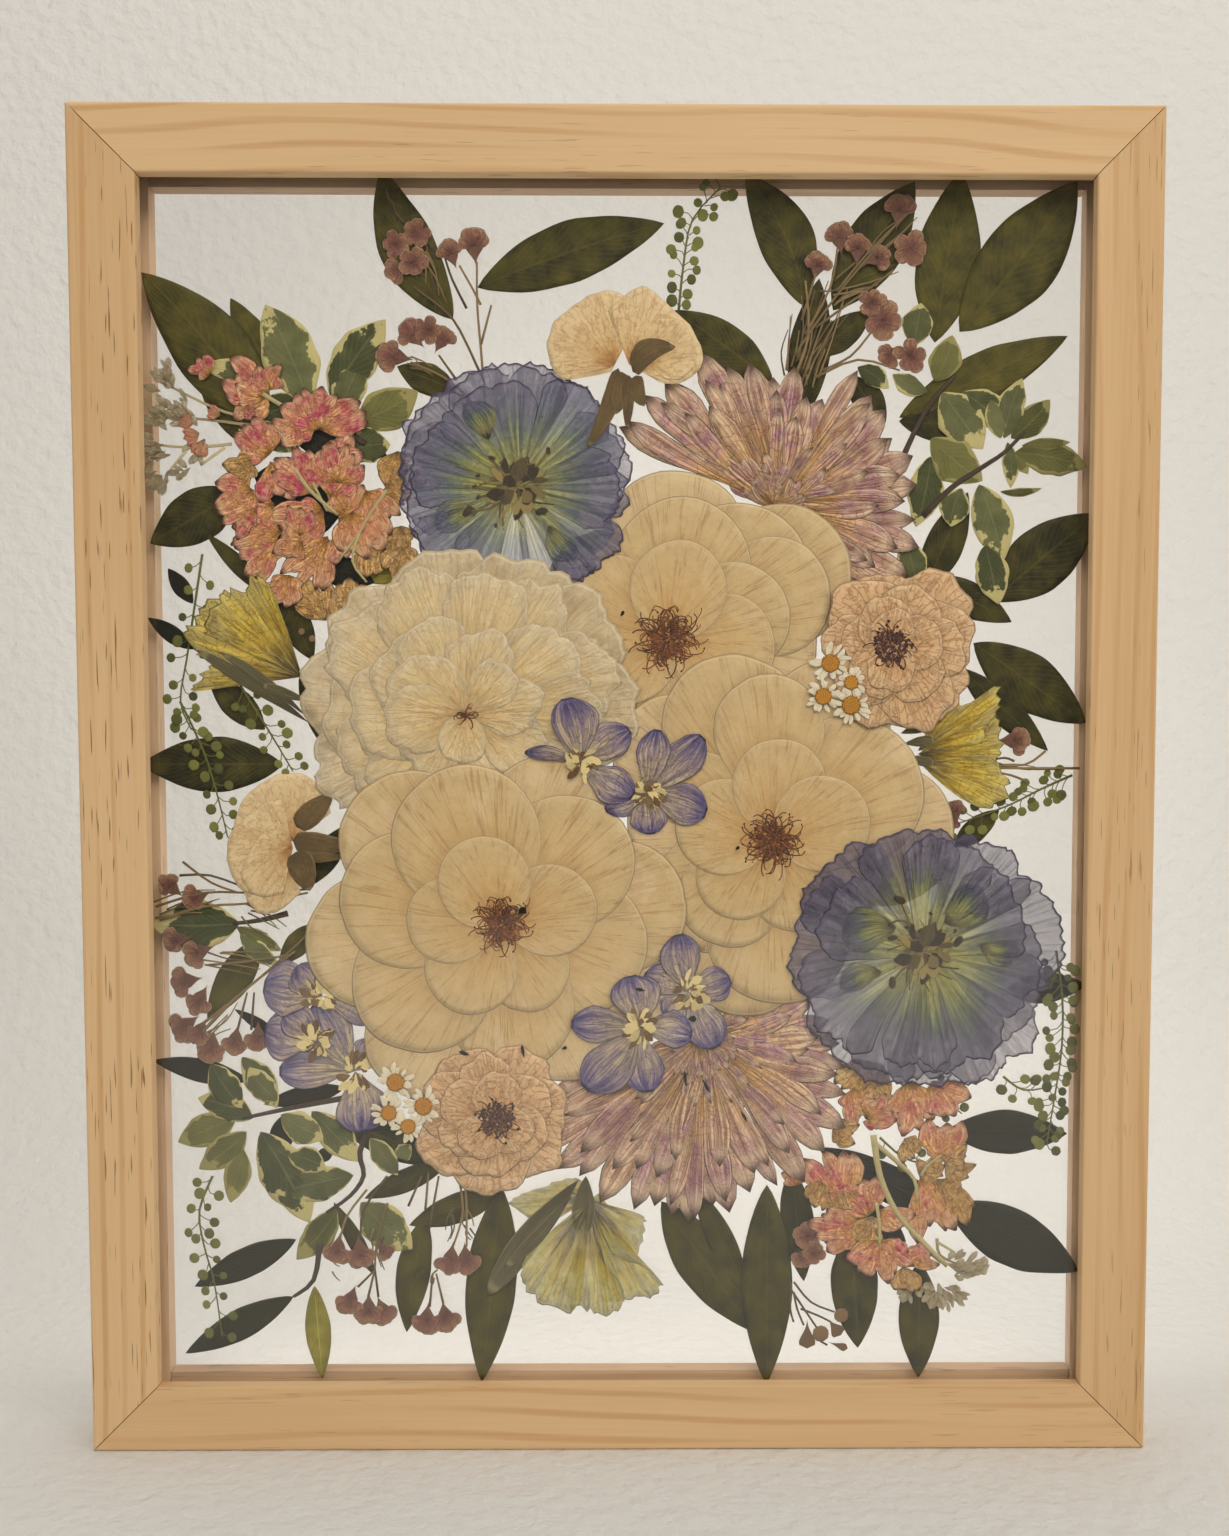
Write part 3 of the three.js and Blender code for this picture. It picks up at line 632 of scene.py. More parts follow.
# %% Petals with a rim of their own
def smooth_path(points, steps):
    """More points on a soft curve through the given x, z points."""
    ends = [points[0], *points, points[-1]]
    path = []
    for a, b, c, d in zip(ends, ends[1:], ends[2:], ends[3:]):
        for i in range(steps):
            t = i / steps
            path.append(tuple(
                0.5 * (2 * q + (r - p) * t + (2 * p - 5 * q + 4 * r - s) * t * t
                       + (3 * q - p - 3 * r + s) * t ** 3)
                for p, q, r, s in zip(a, b, c, d)
            ))
    return [*path, tuple(points[-1])]


RIM_GRID = (32, 12)
RIM_WAVE = 0.02


def rim_petal(bm, base, rim, depth, frill, tone, seed):
    """A sheet that fans from its base to a rim of x, z points, given clockwise."""
    path = smooth_path(rim, 6)

    def place(u, v):
        spot = (u + 1) / 2 * (len(path) - 1)
        index = min(int(spot), len(path) - 2)
        share = spot - index
        uneven = 1 + frill * waver(seed, u * 9) * v
        x, z = (a + (b - a) * share for a, b in zip(path[index], path[index + 1]))
        shift = RIM_WAVE * waver(seed, u * 4, v * 3) * v
        along = v * uneven
        return Vector((base[0] + (x - base[0]) * along, depth + shift,
                       base[1] + (z - base[1]) * along))

    add_sheet(bm, *RIM_GRID, place, tone)


# %% [markdown]
# ## Stems, filaments and beads
#
# Stems and stamens are thin tubes. A ring of a few edges is made at each point of the path,
# and neighbouring rings are bridged, so a tube can taper and curl. Pressing has flattened
# them: each ring is half as deep as it is wide. Anthers, buds and seeds are small flattened
# spheres.


# %% Tubes and beads
def add_tube(bm, points, thick, thin, depth, steps=3, sides=5, flat=0.5, tone=0.5):
    """A flattened tube along x, z points, tapering from thick to thin, capped at its ends."""
    path = smooth_path(points, steps)
    layer = bm.faces.layers.float["tone"]
    rings, made = [], []
    for i, spot in enumerate(path):
        before, after = path[max(i - 1, 0)], path[min(i + 1, len(path) - 1)]
        angle = math.radians(bearing(before, after))
        radius = (thick + (thin - thick) * i / (len(path) - 1)) / 2
        at = Matrix.Translation((spot[0], depth, spot[1]))
        turn = Matrix.Rotation(-angle, 4, "Y") @ Matrix.Rotation(math.pi / 2, 4, "Y")
        squash = Matrix.Diagonal((1, flat, 1, 1))
        ring = bmesh.ops.create_circle(
            bm, segments=sides, radius=radius, cap_ends=i in (0, len(path) - 1),
            matrix=at @ squash @ turn,
        )["verts"]
        rings.append({e for v in ring for e in v.link_edges})
        made += ring
    for first, second in zip(rings, rings[1:]):
        bmesh.ops.bridge_loops(bm, edges=list(first | second))
    faces = list({face for vert in made for face in vert.link_faces})
    for face in faces:
        face[layer] = tone
    bmesh.ops.recalc_face_normals(bm, faces=faces)


def add_bead(bm, spot, depth, size, flat=0.4, detail=1, tone=0.5, stretch=1.0, angle=0.0):
    """A flattened sphere, stretched along a bearing."""
    shape = Matrix.Rotation(-math.radians(angle), 4, "Y") @ Matrix.Diagonal((stretch, flat, 1, 1))
    verts = bmesh.ops.create_icosphere(
        bm, subdivisions=detail, radius=size / 2,
        matrix=Matrix.Translation((spot[0], depth, spot[1])) @ shape,
    )["verts"]
    layer = bm.faces.layers.float["tone"]
    for face in {face for vert in verts for face in vert.link_faces}:
        face[layer] = tone


# %% Finish a piece
SHEET = 0.012  # mm: dried petals are thin


def finish_piece(bm, name, finish, node=None, sheet=0.0):
    """Puts the mesh in its place in metres, says what it rides on, and hides the node it stands
    for.
    """
    bmesh.ops.transform(bm, matrix=PLACE, verts=bm.verts)
    mesh = bpy.data.meshes.new(name)
    bm.to_mesh(mesh)
    bm.free()
    mesh.materials.append(finish)
    for polygon in mesh.polygons:
        polygon.use_smooth = True
    piece = bpy.data.objects.new(name, mesh)
    scene.collection.objects.link(piece)
    if sheet:
        wall = piece.modifiers.new("sheet", "SOLIDIFY")
        wall.thickness = sheet * MM
        wall.offset = -1
    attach(piece, "root")
    if node:
        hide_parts(node)
    print(f"{name}: {len(mesh.polygons)} faces")
    return piece


# %% [markdown]
# ## Marks that every petal shares
#
# Dried petals differ in colour, but the same marks are on all of them: a network of fine
# veins that fans out from the base, a painted highlight along the rim with a dark outline at
# the very edge, partly the petal's own edge colour and partly painted shadow, a mottle where
# the petal dried unevenly, and a soft painted shade where another petal lies on top. Thin
# creases are darkened as painted shade and soft folds lightened as painted highlights, and
# lengthwise pleats darken partly as painted shade, partly as the petal's own streaks. The
# group works them out from the petal's own map, so that one set of nodes serves roses,
# stocks and delphiniums, each with its own counts and colours.

# %% Petal marks group
PETAL_MARKS = ("Reach", "Veins", "Pleats", "Rim", "Outline", "Mottle", "Tone", "Shade",
               "Crease Shade", "Fold Highlights", "Height")
marks_tree, marks_in, marks_out = new_group(
    "petal_marks",
    {"Vein Count": 14, "Vein Width": 0.05, "Crinkle": 6, "Rim Width": 0.03, "Streaks": 0,
     "Vein Length": 2.2},
    PETAL_MARKS,
)


def petal_map(tree):
    """Across from -1 to 1, along from base to rim, and the values on faces and corners."""
    uv = add_node(tree, "UVMap", uv_map="petal").outputs[0]
    split = add_node(tree, "SeparateXYZ", {0: uv}).outputs
    across = times_plus(tree, split["X"], 2.0, -1.0)
    tone = add_node(tree, "Attribute", attribute_name="tone").outputs["Fac"]
    shade = add_node(tree, "Attribute", attribute_name="shade").outputs["Fac"]
    return across, split["Y"], tone, shade


def fanned(tree, fan, along, seed, scale, **settings):
    """Noise in which x is the place across the fan, and each petal has its own z."""
    place = add_node(tree, "CombineXYZ", {"X": fan, "Y": along, "Z": seed}).outputs[0]
    return noise_value(tree, place, scale, **settings)


def away_from_half(tree, value):
    """The distance of a noise from its middle value: thin lines are where it is small."""
    return math_node(tree, "ABSOLUTE", minus(tree, value, 0.5))


# %% Veins, folds and creases
def vein_marks(tree, given, fan, along, seed):
    """A network of lines that fans out with the petal."""
    lengthways = times(tree, along, given["Vein Length"])
    network = fanned(tree, fan, lengthways, seed, 1.0, detail=2.5, roughness=0.6)
    return fade(tree, away_from_half(tree, network), 0.0, given["Vein Width"], 1.0, 0.0)


def fold_marks(tree, given, fan, along, seed):
    """Soft folds across the petal, from their own noise: bumps, and a mask for painted highlights.
    """
    folds = times(tree, along, given["Crinkle"])
    return fanned(tree, times(tree, fan, 0.35), folds, seed, 1.0, detail=2)


def crease_marks(tree, place):
    """Hair-thin creases that run over the whole flower: bumps, and a mask for painted shade."""
    wrinkles = noise_value(tree, place, 330.0, detail=2)
    return fade(tree, away_from_half(tree, wrinkles), 0.0, 0.045, 1.0, 0.0)


def rim_marks(tree, given, across, along):
    """A band of painted highlight inside the rim, then the outline: edge colour and painted shadow.
    """
    border = math_node(tree, "MAXIMUM", math_node(tree, "ABSOLUTE", across), along)
    inside = minus(tree, 1.0, given["Rim Width"])
    middle = times_plus(tree, given["Rim Width"], -0.6, 1.0)
    return fade(tree, border, inside, middle), fade(tree, border, middle, 1.0)


# %% All the petal marks
def build_marks(tree, given, out):
    """Reach is the way along, warped by the mottle and drawn out in streaks."""
    across, along, tone, shade = petal_map(tree)
    place = object_vector(tree)
    mottle = noise_value(tree, place, 260.0, detail=3)
    fan = times(tree, across, given["Vein Count"])
    seed = times(tree, tone, 31.0)
    # The streaks also mask the pleats, darkened partly as painted shade, partly as the petal's own
    # streaks.
    streaks = fanned(tree, fan, along, seed, 0.8, detail=1.5)
    warped = times_plus(tree, mottle, 0.16, along)
    centred = minus(tree, streaks, 0.5)
    warped = times_plus(tree, centred, given["Streaks"], warped)
    veins = vein_marks(tree, given, fan, along, seed)
    folds = fold_marks(tree, given, fan, along, seed)
    creases = crease_marks(tree, place)
    rim, outline = rim_marks(tree, given, across, along)
    ridges = times_plus(tree, veins, 0.35, folds)
    ridges = times_plus(tree, creases, -0.3, ridges)
    set_inputs(out, {
        "Reach": minus(tree, warped, 0.08), "Veins": veins,
        "Pleats": fade(tree, streaks, 0.42, 0.62), "Rim": rim, "Outline": outline,
        "Mottle": mottle, "Tone": tone, "Shade": shade, "Crease Shade": creases,
        "Fold Highlights": fade(tree, folds, 0.48, 0.68), "Height": ridges,
    })


build_marks(marks_tree, marks_in, marks_out)
print("petal marks group:", len(marks_tree.nodes), "nodes")

# %% [markdown]
# ## Petal finishes
#
# A finish begins with a ramp of colours from base to rim. Age lies over it in patches, then
# the marks one after the other, each in its own share and paint: the shares make one
# flower's petals waxy and another's crumpled. Where a petal is thin, alpha lets what lies
# behind it show, less so at its outline and its veins.


# %% Petal finishes
def aged_ground(tree, marks, stops, aged, age, age_start):
    """The ramp of colours, and age over it: stronger for a high tone and in patches."""
    ground = ramp(tree, marks["Reach"], stops)
    patch = fade(tree, marks["Mottle"], 0.35, 0.75)
    patches = times_plus(tree, patch, 0.6 * age, 0.4 * age)
    worn = times_plus(tree, marks["Tone"], 0.7, 0.3)
    ageing = times(tree, worn, patches)
    if age_start:
        past = fade(tree, marks["Reach"], age_start - 0.2, age_start + 0.2)
        ageing = times(tree, ageing, past)
    return mix(tree, ageing, ground, aged)


def petal_finish(name, stops, aged, vein, outline, highlight_colour, veins=0.4, count=4, width=0.1,
                 crinkle=4, rim=0.12, rim_highlight_share=0.4, age=0.35, alpha=1.0,
                 relief=0.00008, shade_colour=(120, 84, 48), shade=0.22, streaks=0.0,
                 age_start=0.0, pleat=0.0, vein_length=2.2, edge=0.75, crease=0.0, fold=0.0):
    """Colours from base to rim, then age, veins, painted shade and painted highlights over them."""
    material, tree, shader = new_material(name)
    marks = use_group(tree, marks_tree, {
        "Vein Count": count, "Vein Width": width, "Crinkle": crinkle, "Rim Width": rim,
        "Streaks": streaks, "Vein Length": vein_length,
    })
    ground = aged_ground(tree, marks, stops, aged, age, age_start)
    # Creases and the shade mark are painted shade; folds and the rim band, painted highlights.
    # Pleats darken partly as painted shade, partly as the petal's own streaks.
    # The outline is the edge colour with painted shadow.
    colour = lay_over(tree, ground, marks, [
        ("Pleats", pleat, vein), ("Veins", veins, vein), ("Crease Shade", crease, vein),
        ("Fold Highlights", fold, highlight_colour), ("Shade", shade, shade_colour),
        ("Rim", rim_highlight_share, highlight_colour), ("Outline", edge, outline),
    ])
    set_inputs(shader, {"Base Color": colour, "Roughness": 0.6, "IOR": 1.4})
    if alpha < 1:
        solid = math_node(tree, "MAXIMUM", marks["Outline"], alpha)
        thicker = times_plus(tree, marks["Veins"], 0.1, solid, clamp=True)
        set_inputs(shader, {"Alpha": thicker})
    bump(tree, shader, marks["Height"], relief)
    return material

# %% [markdown]
# ## Open roses
#
# A rose that is pressed face up spreads into rings of nearly round petals round a tuft of
# stamens. Each petal is given by the middle of its round part and its radius, in millimetres
# from the middle of the frame, the rearmost first. Its base is always the flower's own
# middle, so its place and its pull towards the middle come out by themselves. Where one
# petal lies on another it leaves a soft shade next to its rim, and that shade is worked out
# here from the same circles.


# %% Shade under a petal
def shade_under(bm, petals, spans, reach):
    """Darkens each petal near the rims of the petals in front of it."""
    layer = bm.verts.layers.float["shade"]
    bm.verts.ensure_lookup_table()
    for index, (start, end) in enumerate(spans):
        for vert in bm.verts[start:end]:
            for x, z, radius in petals[index + 1:]:
                gap = math.hypot(vert.co.x - x, vert.co.z - z) - radius
                if gap < 3 * reach:
                    near = math.exp(-max(gap, 0) / reach)
                    vert[layer] = max(vert[layer], near)


# %% Flowers from round petals
def open_flower(name, node, centre, petals, finish, frill=0.02, lobes=3.0, reach=1.3,
                columns=36, rows=14, grey=0):
    """Petals as (x, z, radius), from back to front, the first of them grey with age."""
    front, back = depths(node)
    step = (back - front - 0.05) / len(petals)
    bm = open_sheets()
    spans = []
    for i, (x, z, radius) in enumerate(petals):
        start = len(bm.verts)
        angle = bearing(centre, (x, z))
        along = math.dist(centre, (x, z)) + radius
        tone = (i * 0.37) % 1 * (0.15 if grey else 1)
        round_petal(
            bm, centre, angle, along, 2 * radius, back - 0.03 - step * i, columns, rows,
            frill=frill, lobes=lobes, wave=step * 0.6, tone=1.0 if i < grey else tone,
            seed=i + len(name),
        )
        spans.append((start, len(bm.verts)))
    shade_under(bm, petals, spans, reach)
    return finish_piece(bm, name, finish, node, SHEET)


# %% Stamens
def stamen_tuft(name, node, centre, count, reach, heart, finish, seed, curl=1.0,
                bead=0.55, squash=1.0):
    """A dark heart with curly filaments round it, each ending in an anther."""
    front, _ = depths(node)
    random.seed(seed)
    bm = open_sheets()
    for i in range(count):
        angle = i * 360 / count + jitter(12)
        length = reach * random.uniform(0.35, 1.0) ** 1.3
        side = random.choice((-1, 1)) * curl * random.uniform(20, 85)
        root = polar(centre, angle, heart * random.uniform(0.1, 0.8))
        bend = polar(root, angle + 0.3 * side, length * 0.5)
        tip = polar(bend, angle + side, length * 0.45)
        end = polar(tip, angle + 2.2 * side, length * 0.2)
        tone = random.random()
        depth = front - 0.02 + 0.05 * random.random()
        add_tube(bm, [root, bend, tip, end], 0.36, 0.24, depth, steps=2, sides=4, tone=tone)
        if random.random() < 0.55:
            add_bead(bm, end, depth, bead * random.uniform(0.7, 1.2), flat=0.25, tone=0.0)
    for _ in range(int(40 * heart)):
        away = heart * math.sqrt(random.random())
        spot = polar(centre, random.uniform(0, 360), away)
        size = random.uniform(0.5, 1.1) * squash
        add_bead(bm, spot, front, size, flat=0.15, tone=random.uniform(0, 0.6))
    return finish_piece(bm, name, finish)


# %% Stamen finish
def stamen_finish(name, dark, light, relief=0.00006):
    """Dark anthers and lighter filaments: the tone of a face decides."""
    material, tree, shader = new_material(name)
    tone = add_node(tree, "Attribute", attribute_name="tone").outputs["Fac"]
    grain = noise_value(tree, object_vector(tree), 2200.0)
    share = times_plus(tree, grain, 0.5, minus(tree, tone, 0.25))
    set_inputs(shader, {"Base Color": mix(tree, share, dark, light), "Roughness": 0.7})
    bump(tree, shader, grain, relief)
    return material


rose_stamens = stamen_finish("rose_stamens", (44, 18, 12), (146, 86, 40))
spray_stamens = stamen_finish("spray_rose_stamens", (48, 22, 22), (110, 66, 44))

# %% Cream petals
cream_petals = petal_finish(
    "cream_rose_petals",
    [(0.0, (164, 104, 44)), (0.14, (200, 150, 82)), (0.4, (220, 184, 124)),
     (0.75, (224, 196, 142)), (1.0, (218, 194, 146))],
    aged=(206, 172, 116), vein=(140, 90, 44), outline=(116, 80, 40), highlight_colour=(246, 230, 188),
    veins=0.5, count=20, width=0.026, rim=0.022, alpha=0.76, shade=0.2, vein_length=0.7,
    crease=0.1, fold=0.15, edge=0.7, crinkle=6,
)

# %% Cream roses
CREAM_ROSES = {
    # middle of the flower, then the petals
    "rose_upper": ((14, 44), [
        (46, 62, 20.5), (37, 43, 20), (-2, 34, 16), (16, 71, 21), (-4, 58, 17), (34, 62, 21),
        (44, 56, 17),
        (18, 35, 17), (2, 40, 15), (18, 64, 20), (-2, 54, 14), (33, 50, 16), (30, 42, 15),
        (17, 58, 14),
    ]),
    "rose_middle": ((44, -14), [
        (16, 10, 18), (33, 19, 21), (76, -12, 21), (22, -8, 20), (24, -40, 18), (36, -46, 19),
        (30, -28, 19), (46, -41, 21), (60, 20, 18), (66, 0, 22), (43, 18, 16), (32, -30, 15),
        (50, -27, 13), (35, -24, 13), (30, -10, 14), (46, 2, 13.5), (58.5, -9, 14),
    ]),
    "rose_lower": ((-34, -38), [
        (3, -58, 13), (0, -33, 19.5), (-71, -43, 20), (-55, -71, 19), (-20, -8, 19), (-15, -64, 20),
        (-60, -14, 20.5), (-13, -44, 21), (-32, -62, 19), (-57, -55, 20.5), (-61, -31, 20),
        (-15, -20, 19.5), (-44, -13.5, 21.5), (-27, -51, 12.5), (-20, -34, 13.5),
        (-43, -51, 13.5), (-49, -37, 12.5), (-39, -26, 13.5),
    ]),
}
# reach of the stamens and radius of the heart
TUFTS = {"rose_upper": (8.5, 5.4), "rose_middle": (8, 4.6), "rose_lower": (7.5, 4.2)}

for flower, (centre, petals) in CREAM_ROSES.items():
    open_flower(flower + "_petals", flower, centre, petals, cream_petals,
                frill=0.018)
    reach, heart = TUFTS[flower]
    stamen_tuft(flower + "_stamens", flower, centre, 130, reach, heart, rose_stamens,
                seed=len(flower) + int(centre[0]))

# %% [markdown]
# ## Double rose and spray roses
#
# The double rose has more petals and wavier rims, and its rearmost petals have turned grey.
# The two spray roses are small and crumpled, with a wide dark disc.

# %% Double rose
ivory_petals = petal_finish(
    "double_rose_petals",
    [(0.0, (206, 156, 104)), (0.12, (240, 200, 138)), (0.5, (252, 222, 160)),
     (0.8, (252, 228, 176)), (1.0, (230, 214, 180))],
    aged=(186, 170, 138), vein=(182, 142, 88), outline=(158, 122, 74), highlight_colour=(252, 242, 208),
    age=0.6, veins=0.35, count=18, width=0.035, rim=0.03, rim_highlight_share=0.5, alpha=0.7, crinkle=7,
    relief=0.0003, pleat=0.1, vein_length=1.3, crease=0.14, fold=0.3, shade=0.18, edge=0.6,
)
DOUBLE_MIDDLE = (-44, 22)
DOUBLE_ROSE = [
    (-74, 27, 17.5), (-76, 8, 13), (-67, 42, 17.5), (-48, 52, 18.5), (-31, 50, 18.5),
    (-17, 42, 17.5), (-14, 25, 19), (-69, 23, 17), (-67, 38, 15.5), (-66, 13, 15), (-55, 50, 14),
    (-60, 8, 13), (-27, 46, 14.5), (-14, 33, 13.5), (-38, 51, 12.5), (-62, 24, 15), (-24, 34, 14),
    (-40, 12, 12), (-15, 24, 10), (-57, 32, 14), (-52, 38, 12), (-52, 14, 10), (-40, 37, 10),
    (-30, 14, 9), (-55, 27, 12), (-31, 25, 9), (-57, 21, 10), (-36, 31, 7), (-45, 15, 7),
]
open_flower("double_rose_petals", "double_rose", DOUBLE_MIDDLE, DOUBLE_ROSE, ivory_petals,
            frill=0.09, lobes=6.0, reach=1.6, columns=32, rows=12, grey=7)
stamen_tuft("double_rose_stamens", "double_rose", DOUBLE_MIDDLE, 14, 4.0, 0.8, rose_stamens,
            seed=12, bead=0.3, squash=0.5)

# %% Peach petals
peach_petals = petal_finish(
    "spray_rose_petals",
    [(0.0, (184, 122, 70)), (0.3, (220, 170, 116)), (0.7, (234, 194, 144)),
     (1.0, (238, 202, 158))],
    aged=(224, 182, 134), vein=(162, 104, 58), outline=(126, 80, 42), highlight_colour=(244, 218, 174),
    veins=0.45, count=12, width=0.05, rim=0.05, alpha=0.78, crinkle=9, relief=0.0005, pleat=0.15,
    vein_length=1.3, crease=0.4, fold=0.35,
)

# %% Spray roses
SPRAY_ROSES = {
    "spray_rose_right": ((78, 42), [
        (76, 52, 11), (88, 52, 12), (91, 43, 12), (72, 49, 12), (88, 32, 12), (67, 42, 9),
        (76, 30, 12), (84, 30, 12), (71, 33, 9), (83, 51, 9), (90, 41, 9), (72, 43, 8.5),
        (84, 35, 9), (76, 48, 8), (74, 35, 8), (85, 43, 8), (78, 36, 7), (78, 46, 6.5),
    ]),
    "spray_rose_lower": ((-36, -95), [
        (-43, -84, 10), (-31, -84, 10.5), (-25, -93, 11), (-27, -102, 10), (-38, -106, 12),
        (-48, -101, 11), (-47, -91, 11), (-38, -85, 9), (-29, -90, 9), (-29, -99, 8.5),
        (-38, -103, 9), (-45, -98, 8), (-44, -91, 8), (-36, -88, 7), (-32, -98, 7), (-40, -100, 7),
    ]),
}
for flower, (centre, petals) in SPRAY_ROSES.items():
    open_flower(flower + "_petals", flower, centre, petals, peach_petals,
                frill=0.12, lobes=5.0, reach=1.0, columns=28, rows=10)
    stamen_tuft(flower + "_stamens", flower, centre, 70, 4.4, 4.8, spray_stamens,
                seed=int(centre[0]), curl=0.6, bead=0.9)

# %% [markdown]
# ## Lisianthus
#
# Lisianthus petals are so thin that they are windows when dry: one layer over white paper is
# pale lilac, and two or three layers are slate blue. So the finish lets most of what is
# behind through, and the darkness comes from the petals' own overlap. The middle is
# yellow-green with dark flames round the pistil, which a streaky wander in the colour ramp
# draws.

# %% Lisianthus finish
LISIANTHUS_HEART = [
    (0.0, (96, 72, 60)), (0.14, (130, 104, 70)), (0.24, (206, 200, 96)), (0.46, (190, 190, 108)),
]
LISIANTHUS_RIMS = {
    "lisianthus_upper": [(0.6, (144, 162, 128)), (0.76, (98, 118, 138)), (1.0, (104, 104, 158))],
    "lisianthus_lower": [(0.6, (132, 144, 108)), (0.76, (78, 88, 112)), (1.0, (80, 72, 122))],
}


def lisianthus_finish(flower):
    """A green heart, then the blue of this flower, in petals as thin as smoke."""
    return petal_finish(
        flower + "_petals", LISIANTHUS_HEART + LISIANTHUS_RIMS[flower],
        aged=(176, 164, 182), vein=(40, 42, 58), outline=(38, 32, 58), highlight_colour=(150, 140, 166),
        shade_colour=(56, 58, 74), count=9, width=0.06, rim=0.05, rim_highlight_share=0.25, alpha=0.36,
        relief=0.0005, streaks=0.6, pleat=0.4, vein_length=0.7, edge=0.8, age=1.0, age_start=0.7,
        crease=0.3, fold=0.25,
    )


# %% Lisianthus petals
LISIANTHUS = {
    # middle, then bearing, reach and spread of each petal, from back to front
    "lisianthus_upper": ((-29, 87), [
        (60, 34, 60), (128, 35, 62), (175, 33, 60), (225, 33, 50), (-62, 33, 40), (15, 32, 60),
        (-20, 30, 60), (95, 34, 62), (150, 34, 56), (200, 32, 56), (-42, 33, 42), (40, 33, 58),
        (-2, 28, 50), (110, 29, 60), (250, 27, 50), (165, 30, 50),
    ]),
    "lisianthus_lower": ((88, -46), [
        (52, 37, 46), (8, 39, 56), (-30, 36, 50), (-80, 40, 50), (-128, 40, 60), (172, 38, 60),
        (140, 38, 52), (98, 35, 52), (-52, 41, 46), (-105, 38, 50), (-150, 37, 56), (-12, 34, 50),
        (28, 31, 56), (76, 33, 50), (-68, 35, 50), (158, 31, 50), (-92, 33, 40),
    ]),
}
FOLDS = {
    # middle, bearing, length and width of a lobe that folded over while it was pressed
    "lisianthus_upper": [(-40, 80, 200, 13, 9), (-20, 76, -50, 12, 8),
                         (-37, 100, 120, 12, 9)],
    "lisianthus_lower": [(80, -39, 192, 16, 13), (94, -38, 45, 15, 12), (76, -52, 200, 13, 8),
                         (104, -44, -10, 12, 8)],
}
PETAL_START = 5  # mm that a petal begins behind the middle


def lisianthus(flower, centre, petals, folds):
    """Fans from back to front, and the folded lobes on top of them."""
    front, back = depths(flower)
    step = (back - front - 0.06) / (len(petals) + 4)
    bm = open_sheets()
    for i, (angle, reach, spread) in enumerate(petals):
        start = polar(centre, angle, -PETAL_START)
        fan_petal(bm, start, angle, reach + PETAL_START, spread, back - 0.03 - step * i,
                  tone=(i * 0.37) % 1, seed=i + reach)
    for i, (x, z, angle, length, width) in enumerate(folds):
        long_petal(bm, (x, z), angle, length, width, front + 0.02 + step * i, columns=14,
                   rows=12, belly=0.6, taper=0.55, bow=1.5, frill=0.15, lobes=4, tone=0.1,
                   seed=i)
    finish = lisianthus_finish(flower)
    finish_piece(bm, flower + "_petals", finish, flower, SHEET)


for flower, (centre, petals) in LISIANTHUS.items():
    lisianthus(flower, centre, petals, FOLDS[flower])

# %% [markdown]
# ## Lisianthus hearts
#
# The thick heart of a flower breaks up when it is pressed. So it is made of anthers on
# filaments, given one by one, a ring of thin stalks, and crumpled scraps in the middle.

# %% Lisianthus stamens
olive_stamens = stamen_finish("lisianthus_stamens", (46, 36, 22), (150, 132, 78))
FILAMENTS = {
    # path from the heart to the anther, then the anther's length
    "lisianthus_upper": [
        ([(-31, 86), (-36, 81), (-43, 80)], 5), ([(-28, 84), (-26, 82), (-22, 80)], 5),
        ([(-30, 90), (-34, 92), (-36, 95)], 3), ([(-32, 88), (-37, 88), (-40, 90)], 2),
        ([(-31, 85), (-35, 85), (-40, 84)], 2), ([(-27, 90), (-23, 93), (-20, 97)], 3),
        ([(-30, 83), (-33, 79), (-35, 76)], 2), ([(-32, 87), (-37, 86), (-41, 87)], 2),
    ],
    "lisianthus_lower": [
        ([(87, -44), (84, -38), (81, -31)], 5), ([(88, -46), (82, -44), (79, -42)], 4),
        ([(88, -47), (82, -51), (79, -55)], 5), ([(89, -45), (94, -44), (98, -43)], 5),
        ([(87, -42), (82, -37), (78, -38)], 2), ([(89, -42), (90, -38), (90, -35)], 2),
        ([(90, -46), (94, -42), (97, -40)], 2), ([(86, -46), (85, -42), (83, -39)], 2),
    ],
}


def crumple(bm, centre, count, reach, depth, tones):
    """Small bent scraps round a middle, which is what pressing leaves of a thick heart."""
    for i in range(count):
        angle = random.uniform(0, 360)
        start = polar(centre, angle + 40, random.uniform(0, reach * 0.5))
        long_petal(bm, start, angle, random.uniform(0.35, 1.0) * reach,
                   random.uniform(0.18, 0.5) * reach, depth - 0.002 * i, columns=4, rows=6,
                   bow=jitter(0.4), frill=0.3, tone=random.choice(tones), seed=i)


# %% Lisianthus hearts
RING_STALKS = 14


def lisianthus_heart(flower, centre, filaments):
    front, _ = depths(flower)
    random.seed(len(filaments))
    bm = open_sheets()
    for path, anther in filaments:
        add_tube(bm, path, 1.1, 0.5, front - 0.02, flat=0.08, tone=random.uniform(0.3, 0.9))
        add_bead(bm, path[-1], front - 0.06, anther * 0.42, flat=0.06, tone=0.05, stretch=1.8,
                 angle=bearing(path[-2], path[-1]) + 40, detail=2)
    for i in range(RING_STALKS):
        angle = i * 26 + jitter(10)
        bend, tip = polar(centre, angle, 5), polar(centre, angle + 25, random.uniform(8, 12))
        add_tube(bm, [centre, bend, tip], 0.7, 0.4, front, flat=0.1, tone=random.random())
    crumple(bm, centre, 46, 7.5, front - 0.03, (0.0, 0.0, 0.2, 0.5, 0.9))
    finish_piece(bm, flower + "_stamens", olive_stamens)


for flower, filaments in FILAMENTS.items():
    lisianthus_heart(flower, LISIANTHUS[flower][0], filaments)

# %% [markdown]
# ## Chrysanthemums
#
# Both are pressed from the side, so their narrow petals fan out of one heart. The outer
# petals are given by their tips, as in the CAD model. Shorter ones are then laid over them
# towards the heart, with a little seeded disorder, and a few hair-thin strips fill the heart.

